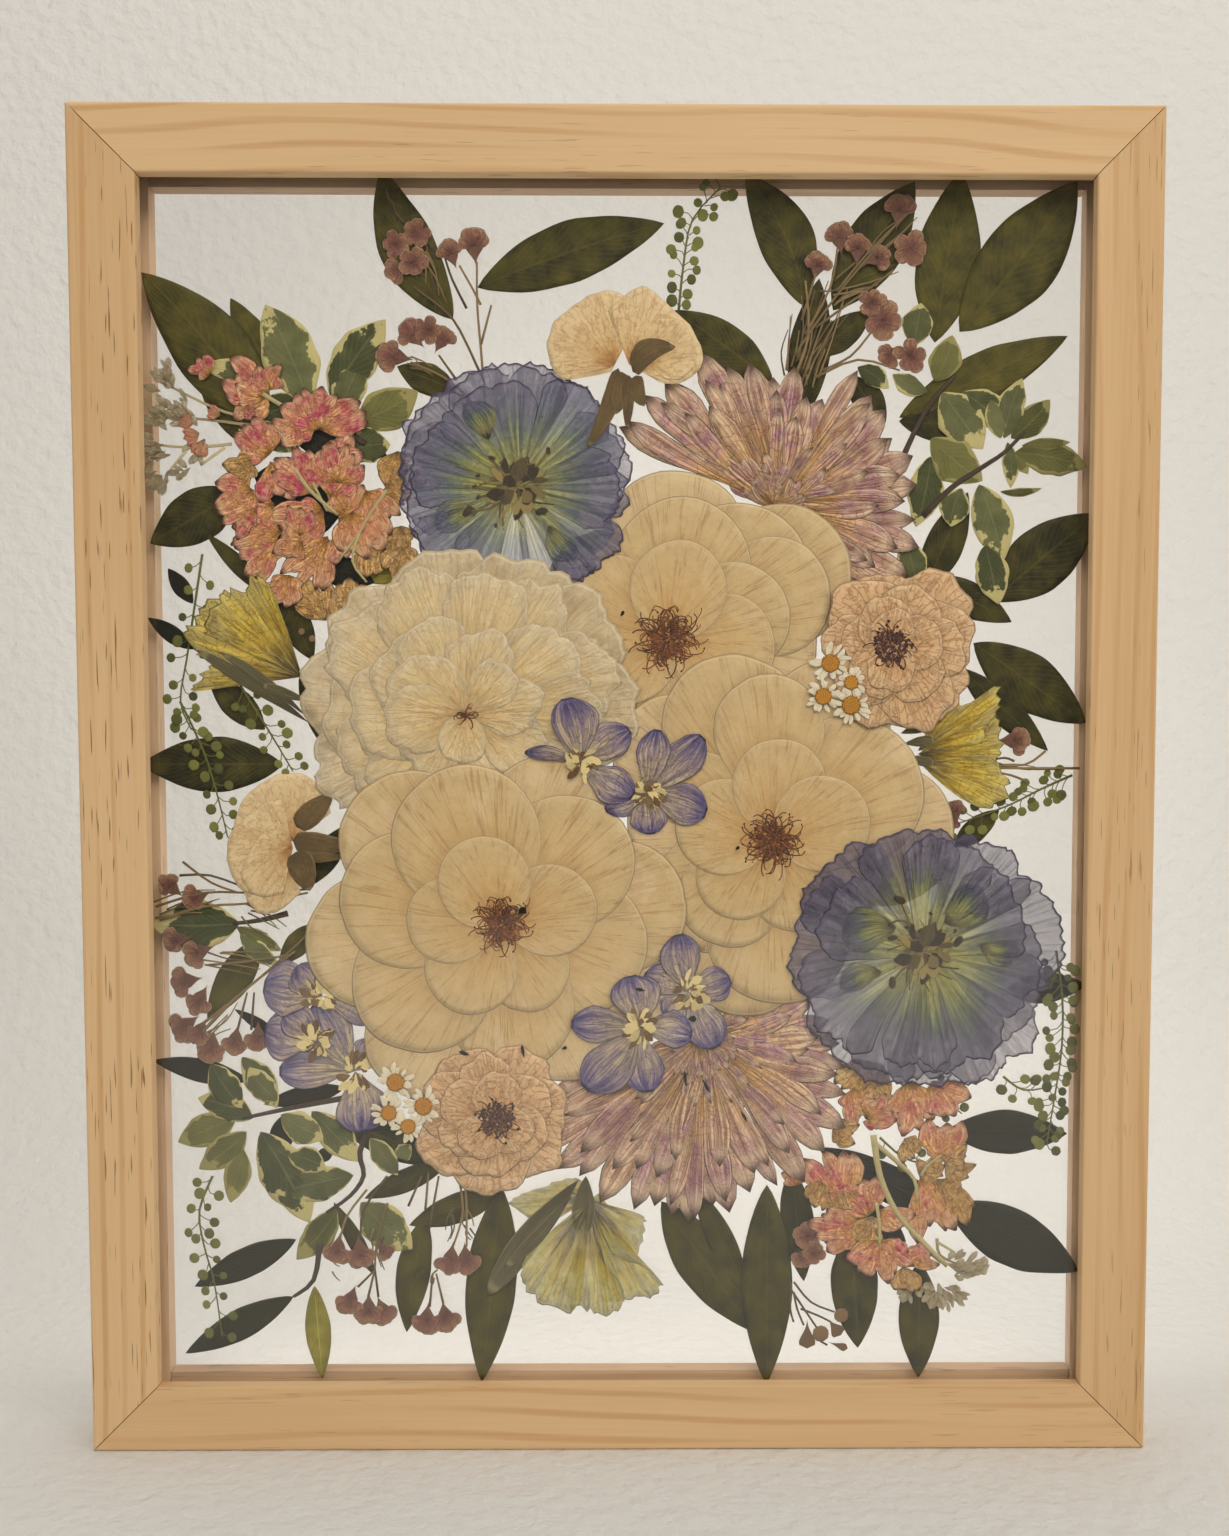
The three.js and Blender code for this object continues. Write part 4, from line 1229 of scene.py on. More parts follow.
# %% Chrysanthemum finish
mauve_petals = petal_finish(
    "chrysanthemum_petals",
    [(0.0, (198, 160, 100)), (0.2, (212, 160, 88)), (0.5, (238, 192, 128)),
     (0.78, (242, 206, 156)), (1.0, (214, 170, 138))],
    aged=(192, 146, 156), vein=(120, 72, 52), outline=(72, 42, 34), highlight_colour=(246, 224, 188),
    shade_colour=(110, 74, 58), veins=0.5, count=3.2, width=0.09, rim=0.2, rim_highlight_share=0.35, age=1.5,
    age_start=0.5, relief=0.0007, streaks=0.1, pleat=0.55, vein_length=0.8, crease=0.3, fold=0.25,
    edge=0.9,
)

# %% Chrysanthemum petals
CHRYSANTHEMUMS = {
    # the heart, then the tips of the outer petals
    "chrysanthemum_upper": ((45, 82), [
        (0, 104), (7, 113), (13, 117), (23, 125), (31, 121), (37, 122), (44, 118), (50, 121),
        (58, 112), (68, 120), (72, 113), (76, 109), (78, 101), (84, 96), (85, 88), (85, 78),
        (86, 70), (83, 62), (75, 60), (66, 57), (60, 48),
    ]),
    "chrysanthemum_lower": ((24, -72), [
        (-20, -88), (-25, -96), (-26, -105), (-19, -110), (-12, -112), (-6, -120), (4, -122),
        (10, -121), (15, -124), (20, -126), (27, -121), (32, -123), (38, -117), (46, -115),
        (54, -114), (60, -105), (66, -98), (66, -88), (66, -80), (64, -73), (61, -66), (56, -59),
        (45, -58), (36, -58),
    ]),
}
RINGS = [  # share of the tip's distance, width, how many (0 is one for each tip)
    (0.4, 9.0, 16), (0.62, 9.5, 16), (1.0, 8.4, 0), (0.9, 7.8, 18), (0.72, 6.0, 9),
    (0.5, 3.8, 12), (0.3, 2.2, 30),
]


# %% Rings of petals
def ring_tips(tips, rings):
    """The tip, the share of its distance and the width of every petal, outer rings first."""
    laid = []
    for share, width, count in rings:
        for i in range(count or len(tips)):
            spot = i if share == 1 else (i + random.random()) / count * (len(tips) - 1)
            first, second = tips[int(spot)], tips[min(int(spot) + 1, len(tips) - 1)]
            tip = [a + (b - a) * (spot % 1) for a, b in zip(first, second)]
            laid.append((tip, share * (1 if share == 1 else random.uniform(0.85, 1.1)), width))
    return laid


def chrysanthemum(flower, base, tips, seed):
    """Rings of long petals, each over the last."""
    front, back = depths(flower)
    random.seed(seed)
    laid = ring_tips(tips, RINGS)
    step = (back - front - 0.05) / len(laid)
    bm = open_sheets()
    for i, (tip, share, width) in enumerate(laid):
        angle = bearing(base, tip) + jitter(3) * (share < 1)
        length = math.dist(base, tip) * share
        start = polar(base, angle, length * 0.06 - 3 * (share < 0.65))
        long_petal(
            bm, start, angle, length * 0.94, width * random.uniform(0.7, 1.1),
            back - 0.02 - step * i, columns=6, rows=12, belly=0.74, taper=0.72,
            bow=jitter(1.8), frill=0.2, wave=step * 2, trough=-0.03,
            tone=random.random(), seed=i,
        )
    finish_piece(bm, flower + "_petals", mauve_petals, flower, SHEET)


for flower, (base, tips) in CHRYSANTHEMUMS.items():
    chrysanthemum(flower, base, tips, seed=base[0])

# %% [markdown]
# ## Delphiniums
#
# Five petals round a small cream and brown eye. The blue has run to the tips and the
# bases have faded to a pinkish cream, with blue veins across the fade.

# %% Delphinium finish
delphinium_petals = petal_finish(
    "delphinium_petals",
    [(0.0, (214, 198, 140)), (0.48, (212, 190, 158)), (0.72, (190, 170, 168)),
     (0.86, (132, 120, 158)), (0.95, (84, 80, 144)), (1.0, (60, 54, 118))],
    aged=(178, 158, 152), vein=(76, 66, 116), outline=(40, 32, 76), highlight_colour=(130, 122, 166),
    shade_colour=(80, 66, 100), veins=0.6, count=7, width=0.07, rim=0.1, rim_highlight_share=0.3, alpha=0.76,
    relief=0.0005, streaks=0.6, pleat=0.3, vein_length=1.3, crease=0.3, fold=0.25, edge=0.9,
)
eye_bits = stamen_finish("delphinium_eyes", (96, 66, 34), (222, 204, 146))

# %% Delphiniums
DELPHINIUMS = {
    # middle, then each petal's tip and width
    "delphinium_centre_left": ((-11, 8.5),
        [(-27, 11.5, 4), (4, -1, 10), (3, 18, 10), (-15, 27, 12.5)]),
    "delphinium_centre_right": ((8, 0),
        [(-4, -5, 6), (9, -12, 10), (25, -6, 11), (24, 16, 10), (11, 18, 9)]),
    "delphinium_lower_left": ((6, -68), [(8, -87, 12), (-10, -86, 13), (21, -70, 10),
        (-14, -67, 10), (3, -53, 14)]),
    "delphinium_lower_right": ((20, -58),
        [(7, -53, 9), (14, -66, 8), (28, -74, 11), (32, -54, 10), (17, -41, 11)]),
    "delphinium_side_upper": ((-86, -59), [(-103, -56, 15), (-93, -50, 10), (-73, -67, 6)]),
    "delphinium_side_middle": ((-88, -72), [(-103, -69, 14), (-97, -64, 10)]),
    "delphinium_side_lower": ((-77, -81),
        [(-99, -81, 11), (-88, -61, 13), (-75, -99, 15), (-71, -72, 9)]),
}


def delphinium(flower, centre, petals, seed):
    """Petals round an eye of small crumpled bits."""
    front, back = depths(flower)
    step = (back - front - 0.05) / len(petals)
    random.seed(seed)
    bm = open_sheets()
    for i, (x, z, width) in enumerate(petals):
        long_petal(
            bm, centre, bearing(centre, (x, z)), math.dist(centre, (x, z)), width * 1.1,
            back - 0.03 - step * i, columns=20, rows=16, belly=0.64, taper=0.68,
            bow=jitter(1.2), frill=0.1, wave=step * 0.8, tone=random.random(),
            seed=seed + i, blunt=0.02,
        )
    finish_piece(bm, flower + "_petals", delphinium_petals, flower, SHEET)
    eye = open_sheets()
    crumple(eye, centre, 30, 5.4, front - 0.01, (0.0, 0.1, 0.7, 0.9, 1.0))
    finish_piece(eye, flower + "_eye", eye_bits)


for i, (flower, (centre, petals)) in enumerate(DELPHINIUMS.items()):
    delphinium(flower, centre, petals, seed=20 + i)

# %% [markdown]
# ## Feverfew
#
# Little daisies: a golden disc of tight florets, and white rays that pressing has bent and
# broken every way.

# %% Feverfew finishes
feverfew_rays = petal_finish(
    "feverfew_rays",
    [(0.0, (206, 194, 150)), (0.3, (232, 224, 198)), (1.0, (240, 234, 214))],
    aged=(206, 190, 150), vein=(176, 156, 112), outline=(128, 106, 70), highlight_colour=(248, 244, 228),
    veins=0.3, count=3, width=0.08, rim=0.1, crinkle=3,
)
feverfew_discs = stamen_finish("feverfew_discs", (128, 76, 14), (214, 152, 38), relief=0.0001)

# %% Feverfew
FEVERFEWS = {
    "feverfew_right": [(60.5, 37, 2.7), (66.5, 31.5, 2.1), (58.5, 27.5, 2.5), (66.5, 25, 2.8)],
    "feverfew_left": [(-65, -84, 2.7), (-57, -91, 2.7), (-67, -93, 2.4), (-61.5, -97, 2.3)],
}
RAY_COUNT = 15
FLORET_COUNT = 60
GOLDEN_ANGLE = 137.5  # degrees from one floret of a disc to the next


def disc_florets(discs, x, z, radius, depth):
    """Florets in a spiral, the ones near the rim darker."""
    for i in range(FLORET_COUNT):
        away = radius * 0.95 * math.sqrt((i + 0.5) / FLORET_COUNT)
        spot = polar((x, z), i * GOLDEN_ANGLE, away)
        tone = 0.3 + 0.5 * (away < radius * 0.8)
        add_bead(discs, spot, depth, 0.62, flat=0.12, tone=tone)


def feverfew(node, daisies, seed):
    """Each daisy is the x and z of its middle and the radius of its disc."""
    front, back = depths(node)
    random.seed(seed)
    rays, discs = open_sheets(), open_sheets()
    for x, z, radius in daisies:
        for i in range(RAY_COUNT):
            angle = (i + jitter(0.35)) * 360 / RAY_COUNT
            start = polar((x, z), angle, radius * 0.75)
            long_petal(
                rays, start, angle + jitter(28), radius * random.uniform(0.9, 1.7),
                random.uniform(1.1, 1.9), back - 0.05 - 0.008 * (i % 9), columns=4, rows=7,
                belly=0.55, taper=0.5, bow=jitter(0.5), frill=0.25,
                tone=random.random(), seed=i,
            )
        add_bead(discs, (x, z), front + 0.06, 2 * radius, flat=0.02, detail=2, tone=0.3)
        disc_florets(discs, x, z, radius, front + 0.03)
    finish_piece(rays, node + "_rays", feverfew_rays, node, SHEET)
    finish_piece(discs, node + "_discs", feverfew_discs)


for i, (node, daisies) in enumerate(FEVERFEWS.items()):
    feverfew(node, daisies, seed=40 + i)

# %% [markdown]
# ## Stocks
#
# A stock's florets are pressed from the side, so each one is a small fan: an olive-yellow
# foot, then petals that turn peach or magenta. A floret is given by its foot, the way it
# points, its length, how wide it spreads and how pink it is. Its petals are laid side by
# side with a little seeded disorder.

# %% Stock finishes
stock_petals = petal_finish(
    "stock_petals",
    [(0.0, (122, 98, 26)), (0.22, (206, 156, 48)), (0.42, (248, 202, 112)), (0.8, (252, 214, 156)),
     (1.0, (244, 190, 154))],
    aged=(214, 76, 118), vein=(164, 68, 40), outline=(96, 42, 26), highlight_colour=(255, 214, 166),
    shade_colour=(110, 60, 44), veins=0.35, rim=0.26, rim_highlight_share=0.35, age=1.3, crinkle=5,
    relief=0.0009, streaks=0.3, age_start=0.35, pleat=0.45, vein_length=1.0, edge=0.95,
    crease=0.35, fold=0.35,
)
gold_petals = petal_finish(
    "faded_stock_petals",
    [(0.0, (118, 92, 40)), (0.3, (198, 146, 60)), (0.7, (236, 182, 98)), (1.0, (218, 154, 78))],
    aged=(236, 204, 152), vein=(120, 70, 30), outline=(84, 48, 22), highlight_colour=(244, 208, 136),
    shade_colour=(90, 56, 30), rim=0.26, rim_highlight_share=0.3, age=0.9, crinkle=6, relief=0.0009,
    streaks=0.3, pleat=0.5, vein_length=1.2, edge=0.95, crease=0.4, fold=0.35,
)
dry_stems = stamen_finish("dry_stems", (122, 108, 66), (196, 184, 132))

# %% The florets of each stock
STOCKS = {
    # foot, bearing, length, spread, pinkness from 0 to 1, or gold where it is None
    "stock_upper": [
        (-63, 97, -105, 11, 50, None), (-66, 88, -60, 8, 90, None), (-62, 76, -110, 11, 60, None),
        (-84, 49, 105, 13, 60, None), (-78, 52, 75, 10, 60, None), (-86, 50, 140, 8, 40, None),
        (-71, 72, -93, 13, 24, None), (-104, 94, -150, 10, 60, None), (-99, 96, 130, 12, 70, 0.7),
        (-97, 72, 215, 14, 60, 0.15), (-96, 74, 165, 16, 70, 0.3), (-98, 82, 190, 14, 60, 0.5),
        (-83, 73, 235, 17, 50, 0.05), (-84, 80, 200, 16, 60, 0.45), (-80, 78, -15, 14, 80, 0.1),
        (-78, 79, 92, 13, 60, 0.0), (-80, 73, -100, 10, 50, 0.25), (-99, 94, -70, 14, 60, 0.95),
        (-82, 84, 60, 11, 60, 0.8), (-83, 92, 45, 12, 60, 0.65), (-85, 103, 20, 15, 50, 0.85),
        (-86, 103, 170, 13, 60, 0.7), (-85, 103, 100, 12, 80, 0.8), (-87, 85, 112, 16, 80, 1.0),
        (-91, 73, 100, 9, 60, 0.5), (-90, 71, 190, 9, 50, 0.2), (-80, 88, 80, 12, 80, 0.7),
        (-104, 86, 200, 12, 60, 0.45), (-103, 80, 215, 11, 50, 0.6), (-62, 70, -95, 10, 70, None),
        (-72, 86, -65, 14, 60, 0.05), (-76, 80, -75, 17, 60, 0.0), (-94, 62, 240, 12, 60, 0.1),
    ],
    "stock_floret": [
        (-99, 113, 195, 13, 50, 0.35), (-100, 112, 150, 15, 60, 0.4), (-99, 113, 115, 9, 40, 0.6),
        (-99, 114, 70, 9, 12, 0.75), (-116, 118, 130, 7, 50, 0.45), (-105, 110, -95, 5, 30, 0.7),
    ],
    "stock_lower": [
        (72, -78, -95, 12, 90, None), (75, -84, -100, 12, 90, None), (84, -84, -85, 17, 60, 0.1),
        (68, -86, -80, 13, 40, 0.1), (91, -84, -60, 13, 60, 0.35), (62, -98, -10, 9, 60, None),
        (94, -108, 85, 15, 45, 0.1), (95, -109, 0, 9, 120, None), (87, -111, 5, 9, 50, None),
        (93, -113, -70, 16, 60, None), (88, -112, -76, 20, 30, 0.3), (52, -115, 100, 8, 70, 0.1),
        (66, -121, 125, 18, 60, 0.25), (66, -120, 95, 16, 40, 0.35), (60, -114, 245, 9, 50, None),
        (73, -124, 112, 14, 50, 0.55), (66, -116, -95, 9, 40, None), (70, -129, 182, 15, 60, 0.3),
        (70, -127, 165, 14, 40, 0.45), (74, -124, -105, 10, 50, None), (76, -122, -35, 12, 45, 0.6),
        (84, -138, 20, 10, 50, 0.35), (83, -139, -80, 9, 50, None), (83, -101, -70, 8, 50, None),
        (76, -96, 100, 6, 150, 0.4), (76, -131, -92, 13, 120, 0.45), (72, -95, 20, 9, 90, 0.2),
    ],
}


# %% Stock florets
def floret(bm, foot, angle, length, spread, tone, depth, sink, seed):
    """Two rows of petals side by side across the spread, the shorter row in front."""
    count = max(3, round(spread * length / 170) + 1)
    width = min(length * 0.46, 5.8)
    for row, share in enumerate((1.0, 0.62)):
        for i in range(count):
            side = ((i + row * 0.5) / (count - 1) - 0.5) * 2
            petal = angle + side * spread / 2 + jitter(8)
            reach = length * share * random.uniform(0.72, 1.08) * (1 - 0.08 * abs(side))
            long_petal(
                bm, foot, petal, reach, width * random.uniform(0.75, 1.2),
                depth + sink * (0.5 * abs(side) - row), columns=6, rows=8, belly=0.62,
                taper=0.9, bow=jitter(1.4), frill=0.25, lobes=4, wave=0.015,
                trough=-0.02, tone=min(max(tone + random.uniform(-0.6, 0.5), 0), 1),
                seed=seed + i, blunt=0.02,
            )


def stock(node, florets, seed):
    """The faded florets are a piece of their own, because their finish differs."""
    front, back = depths(node)
    random.seed(seed)
    step = (back - front - 0.05) / len(florets)
    pink, gold = open_sheets(), open_sheets()
    for i, (x, z, angle, length, spread, tone) in enumerate(florets):
        depth = back - 0.04 - step * i
        bm = gold if tone is None else pink
        shade = random.random() if tone is None else tone
        floret(bm, (x, z), angle, length, spread, shade, depth, step * 0.4, seed + i)
    finish_piece(pink, node + "_petals", stock_petals, node, SHEET)
    if len(gold.faces):
        finish_piece(gold, node + "_faded", gold_petals, None, SHEET)


for i, (node, florets) in enumerate(STOCKS.items()):
    stock(node, florets, seed=60 + 30 * i)

# %% Stock stalks
STALKS = {
    # path and thickness
    "stock_upper": [([(-66, 86), (-71, 79), (-74, 74), (-80, 66)], 1.0),
        ([(-74, 74), (-76, 66), (-72, 60)], 1.0), ([(-92, 92), (-88, 86), (-80, 79)], 1.4),
        ([(-87, 88), (-85, 84), (-83, 80)], 1.0)],
    "stock_floret": [([(-101, 113), (-96, 110), (-90, 107)], 1.5)],
    "stock_lower": [([(74, -100), (76, -112), (81, -123), (88, -131), (96, -139)], 2.2),
        ([(74, -102), (80, -107), (86, -113), (87, -120)], 1.6),
        ([(76, -104), (84, -111), (86, -113)], 1.0), ([(75, -120), (76, -127), (76, -133)], 1.3),
        ([(88, -112), (90, -109), (94, -106)], 1.0)],
}
for node, stalks in STALKS.items():
    bm = open_sheets()
    depth = depths(node)[0] - 0.03
    for path, thick in stalks:
        add_tube(bm, path, thick, thick * 0.7, depth, flat=0.06, sides=6, tone=0.7)
    finish_piece(bm, node + "_stalks", dry_stems)

# %% [markdown]
# ## Flowers seen from the side
#
# Two rosebuds and three freesias are pressed from the side. Their petals have shapes of their
# own, so each is a sheet that fans from its foot out to a rim of a few points, read clockwise
# in millimetres and joined by a smooth curve. Sepals, hips and bracts are long sheets.

# %% Rosebud finishes
bud_petals = petal_finish(
    "rosebud_petals",
    [(0.0, (160, 96, 34)), (0.16, (200, 150, 84)), (0.4, (222, 192, 138)), (1.0, (230, 208, 164))],
    aged=(224, 200, 154), vein=(168, 112, 56), outline=(140, 98, 50), highlight_colour=(250, 226, 178),
    veins=0.5, count=13, width=0.04, crease=0.3, fold=0.25, rim=0.02, rim_highlight_share=0.5, alpha=0.9,
    crinkle=7, relief=0.0002, streaks=0.15, pleat=0.12, vein_length=1.6,
)
sepals = petal_finish(
    "sepals",
    [(0.0, (96, 76, 42)), (0.5, (120, 98, 56)), (1.0, (108, 88, 52))],
    aged=(78, 62, 36), vein=(74, 58, 34), outline=(70, 54, 30), highlight_colour=(160, 138, 92),
    veins=0.45, width=0.08, rim=0.1, rim_highlight_share=0.5, age=0.8, relief=0.0002,
)

# %% Rosebuds
ROSEBUDS = {
    # foot of each petal, then its rim
    "rosebud_top": [((-1, 121), [(-2, 119), (-9, 117.5), (-16, 117), (-19.5, 122), (-20, 128),
        (-17, 134), (-10, 139), (-4, 141.5), (2, 140), (6, 134)]), ((3, 121), [(-3, 136),
        (2, 140.5), (6, 142.5), (10, 141), (15, 137), (20, 132), (23.5, 126), (23, 120), (18, 116),
        (12, 116), (8, 119)]), ((8, 122),
        [(12, 134), (18, 133), (21, 128), (22, 122), (18, 117), (13, 117)])],
    "rosebud_left": [((-94, -20), [(-92, -29), (-98, -34), (-104, -35), (-108, -30), (-108, -25)]),
        ((-94, -14), [(-112, -14), (-110, -6), (-105, 1), (-98, 5), (-91, 5), (-85, 1),
        (-83, -6)]), ((-94, -16), [(-101, -30), (-109, -28), (-113, -20), (-112, -12), (-107, -7),
        (-102, -3), (-97, -2)]), ((-94, -16), [(-97, -29), (-104, -30), (-109, -25), (-107, -18),
        (-103, -12), (-98, -8)])],
}
SEPALS = {
    # base, bearing, length, width, sideways bow
    "rosebud_top": [(0, 120, 248, 24, 5, -1.5), (4, 119, 30, 14, 7, -3), (1, 119, 262, 12, 6, 0),
        (3, 118, 268, 15, 3.5, 0), (5, 118, 285, 9, 5, 1)],
    "rosebud_left": [(-93, -10, 42, 14, 7, 0), (-94, -14, -4, 16, 7, 0.5), (-92, -19, 2, 13, 3, 0),
        (-93, -17, -72, 12, 8, 0)],
}
for node, petals in ROSEBUDS.items():
    front, back = depths(node)
    bm = open_sheets()
    for i, (base, rim) in enumerate(petals):
        rim_petal(bm, base, rim, back - 0.06 - 0.03 * i, frill=0.03, tone=(i * 0.41) % 1, seed=i)
    finish_piece(bm, node + "_petals", bud_petals, node, SHEET)
    bm = open_sheets()
    for i, (x, z, angle, length, width, bow) in enumerate(SEPALS[node]):
        long_petal(bm, (x, z), angle, length, width, front + 0.03 - 0.015 * i, columns=8, rows=14,
                   belly=0.35, taper=0.55, bow=bow, frill=0.06, tone=(i * 0.6) % 1, seed=i)
    finish_piece(bm, node + "_sepals", sepals, None, SHEET)

# %% Freesia finishes
yellow_petals = petal_finish(
    "freesia_petals",
    [(0.0, (56, 42, 20)), (0.2, (104, 80, 22)), (0.4, (204, 168, 36)), (0.7, (226, 196, 66)),
     (1.0, (218, 202, 124))],
    aged=(192, 178, 110), vein=(104, 76, 20), outline=(76, 58, 20), highlight_colour=(226, 208, 110),
    shade_colour=(90, 72, 28), veins=0.5, count=9, width=0.05, crease=0.3, fold=0.35, edge=0.9,
    rim=0.04, alpha=0.86, relief=0.0005, streaks=0.8, pleat=0.45, vein_length=1.4,
)
pale_petals = petal_finish(
    "pale_freesia_petals",
    [(0.0, (44, 36, 24)), (0.28, (76, 62, 26)), (0.46, (180, 152, 34)), (0.66, (212, 192, 76)),
     (0.84, (208, 200, 124)), (1.0, (200, 196, 146))],
    aged=(180, 176, 100), vein=(124, 104, 40), outline=(116, 108, 62), highlight_colour=(232, 226, 180),
    shade_colour=(110, 96, 50), count=12, width=0.05, crease=0.3, fold=0.35, edge=0.9, rim=0.03,
    alpha=0.66, relief=0.0003, streaks=1.4, pleat=0.3, vein_length=1.2,
)
bracts = petal_finish(
    "bracts",
    [(0.0, (46, 38, 22)), (0.4, (84, 78, 46)), (1.0, (104, 98, 66))],
    aged=(116, 108, 72), vein=(62, 56, 34), outline=(46, 40, 24), highlight_colour=(160, 152, 112),
    veins=0.5, count=5, rim_highlight_share=0.5, age=0.8, vein_length=0.8, pleat=0.4, crinkle=6,
)

# %% Freesias
FREESIAS = {
    "freesia_left": [((-91, 33), [(-112, 31), (-122, 29), (-117, 36), (-113, 40)]), ((-91, 33),
        [(-113, 33), (-119, 38), (-123, 43), (-121, 49), (-116, 55), (-110, 57)]), ((-91, 33),
        [(-120, 46), (-116, 54), (-110, 57), (-105, 59), (-103, 62), (-98, 56)]),
        ((-91, 34), [(-107, 57), (-104, 62), (-100, 59), (-96, 50), (-93, 41)])],
    "freesia_right": [((86, 11), [(100, 22), (107, 24), (110, 16), (109, 9), (104, 3)]), ((86, 12),
        [(89, 19), (94, 24), (101, 26), (108, 30), (109, 25), (106, 19), (104, 14)]), ((86, 9),
        [(106, 11), (110, 8), (112, 2), (109, -4), (103, -4), (96, 0), (90, 5)])],
    "freesia_bottom": [((-9, -119),
        [(-22, -127), (-32, -120), (-22, -115), (-13, -112.5), (-9, -116)]), ((-9, -119),
        [(-6, -117), (-2, -122), (5, -123), (7, -127), (4, -136), (-2, -138)]), ((-9, -120),
        [(-2, -136), (3, -138), (10, -141), (12, -146), (8, -148), (1, -149), (-5, -151)]),
        ((-9, -120), [(-4, -140), (1, -146), (0, -151), (-7, -152), (-13, -151), (-17, -146)]),
        ((-9, -120), [(-11, -148), (-14, -152), (-20, -151), (-26, -147), (-29, -142), (-27, -135),
        (-20, -128), (-14, -123)])],
}
BRACTS = {
    "freesia_left": [(-89, 20, 147, 38, 4, 0.5), (-90, 22, 143, 30, 3, 1),
        (-89, 26, 160, 14, 3, 0)],
    "freesia_right": [(81, 17, 18, 11, 3.4, 0), (82, 14, 8, 9, 3, 0), (82, 10, -10, 9, 3, 0),
        (81, 20, 30, 10, 3, 0)],
    "freesia_bottom": [(-12, -113, 232, 44, 8, 1), (-10, -112, 266, 18, 7, 0),
        (-14, -117, 228, 30, 4, -1)],
}
for node, petals in FREESIAS.items():
    front, back = depths(node)
    finish = pale_petals if node == "freesia_bottom" else yellow_petals
    bm = open_sheets()
    for i, (base, rim) in enumerate(petals):
        rim_petal(bm, base, rim, back - 0.06 - 0.03 * i, frill=0.12, tone=(i * 0.37) % 1,
                  seed=7 + i)
    finish_piece(bm, node + "_petals", finish, node, SHEET)
    bm = open_sheets()
    for i, (x, z, angle, length, width, bow) in enumerate(BRACTS[node]):
        long_petal(bm, (x, z), angle, length, width, front + 0.01 - 0.01 * i, columns=8, rows=16,
                   belly=0.6, taper=0.6, bow=bow, frill=0.05, tone=0.3 * i, seed=i)
    finish_piece(bm, node + "_bracts", bracts, None, SHEET)


# %% [markdown]
# ## Leaves
#
# A leaf is the same kind of sheet as a long petal, but its veins are laid out differently:
# one midrib from foot to tip, and side veins that leave it at a slant. The group below
# draws both from the sheet's map, together with a mottle and a margin. Plain dark leaves use
# the veins; the variegated ones of the pittosporum also have a broad cream margin with a
# ragged inner edge.

# %% Leaf marks group
leaf_tree, leaf_in, leaf_out = new_group(
    "leaf_marks",
    {"Vein Count": 16, "Slant": 0.3, "Margin": 0.1, "Ragged": 0},
    ("Midrib", "Veins", "Margin", "Mottle", "Tone", "Height"),
)


def build_leaf_marks(tree, given, out):
    """Side veins are lines of equal along minus slant times the distance from the midrib."""
    uv = add_node(tree, "UVMap", uv_map="petal").outputs[0]
    split = add_node(tree, "SeparateXYZ", {0: uv}).outputs
    side = math_node(tree, "ABSOLUTE", times_plus(tree, split["X"], 2.0, -1.0))
    tone = add_node(tree, "Attribute", attribute_name="tone").outputs["Fac"]
    mottle = noise_value(tree, object_vector(tree), 180.0, detail=4, roughness=0.6)
    slanted = times(tree, side, given["Slant"])
    uneven = times_plus(tree, mottle, 0.04, split["Y"])
    level = minus(tree, uneven, slanted)
    phase = math_node(tree, "FRACT", times(tree, level, given["Vein Count"]))
    veins = fade(tree, away_from_half(tree, phase), 0.06, 0.2, 1.0, 0.0)
    midrib = fade(tree, side, 0.025, 0.07, 1.0, 0.0)
    centred = minus(tree, mottle, 0.5)
    flutter = times(tree, centred, given["Ragged"])
    edge = math_node(tree, "ADD", math_node(tree, "MAXIMUM", side, split["Y"]), flutter)
    inner = minus(tree, 1.0, given["Margin"])
    margin = fade(tree, edge, inner, math_node(tree, "ADD", inner, 0.05))
    height = math_node(tree, "MAXIMUM", midrib, times(tree, veins, 0.4))
    set_inputs(out, {"Midrib": midrib, "Veins": veins, "Margin": margin, "Mottle": mottle,
                     "Tone": tone, "Height": height})


build_leaf_marks(leaf_tree, leaf_in, leaf_out)
print("leaf marks group:", len(leaf_tree.nodes), "nodes")


# %% Leaf finishes
def leaf_finish(name, dark, pale, vein, margin_colour, margin=0.06, share=0.5, count=16,
                slant=0.3, ragged=0.0, vein_share=0.35, midrib_share=0.7):
    """Dark to pale by tone and mottle, then side veins, midrib and margin."""
    material, tree, shader = new_material(name)
    marks = use_group(tree, leaf_tree, {
        "Vein Count": count, "Slant": slant, "Margin": margin, "Ragged": ragged,
    })
    spread = times_plus(tree, marks["Mottle"], 1.7, -0.85)
    ground = mix(tree, math_node(tree, "ADD", marks["Tone"], spread, clamp=True), dark, pale)
    edged = lay_over(tree, ground, marks, [
        ("Veins", vein_share, vein), ("Midrib", midrib_share, vein),
        ("Margin", share, margin_colour),
    ])
    set_inputs(shader, {"Base Color": edged, "Roughness": 0.6, "IOR": 1.3})
    bump(tree, shader, marks["Height"], 0.0001)
    return material


olive_leaf = leaf_finish("olive_leaf", (36, 36, 6), (100, 92, 28), (118, 106, 44), (40, 36, 12),
                         margin=0.05, vein_share=0.12, midrib_share=0.18)
yellow_leaf = leaf_finish("yellow_leaf", (96, 92, 20), (170, 160, 60), (186, 176, 90),
                          (120, 100, 30), vein_share=0.3)
# Near-black leaves: their own dark colour, made darker still as painted shade in the gaps.
black_leaf_and_shade = leaf_finish("black_leaf_and_shade", (14, 14, 2), (38, 38, 8), (54, 50, 18), (26, 22, 6),
                         vein_share=0.12, midrib_share=0.2)

# %% [markdown]
# ## Dark leaves
#
# Dark leaves fill the corners and the spaces between the flowers and stand behind
# everything else. Each is given by its foot, its tip and its width, read off in millimetres
# from the frame's centre. The eight largest are pieces of the CAD model; the others are only
# here.

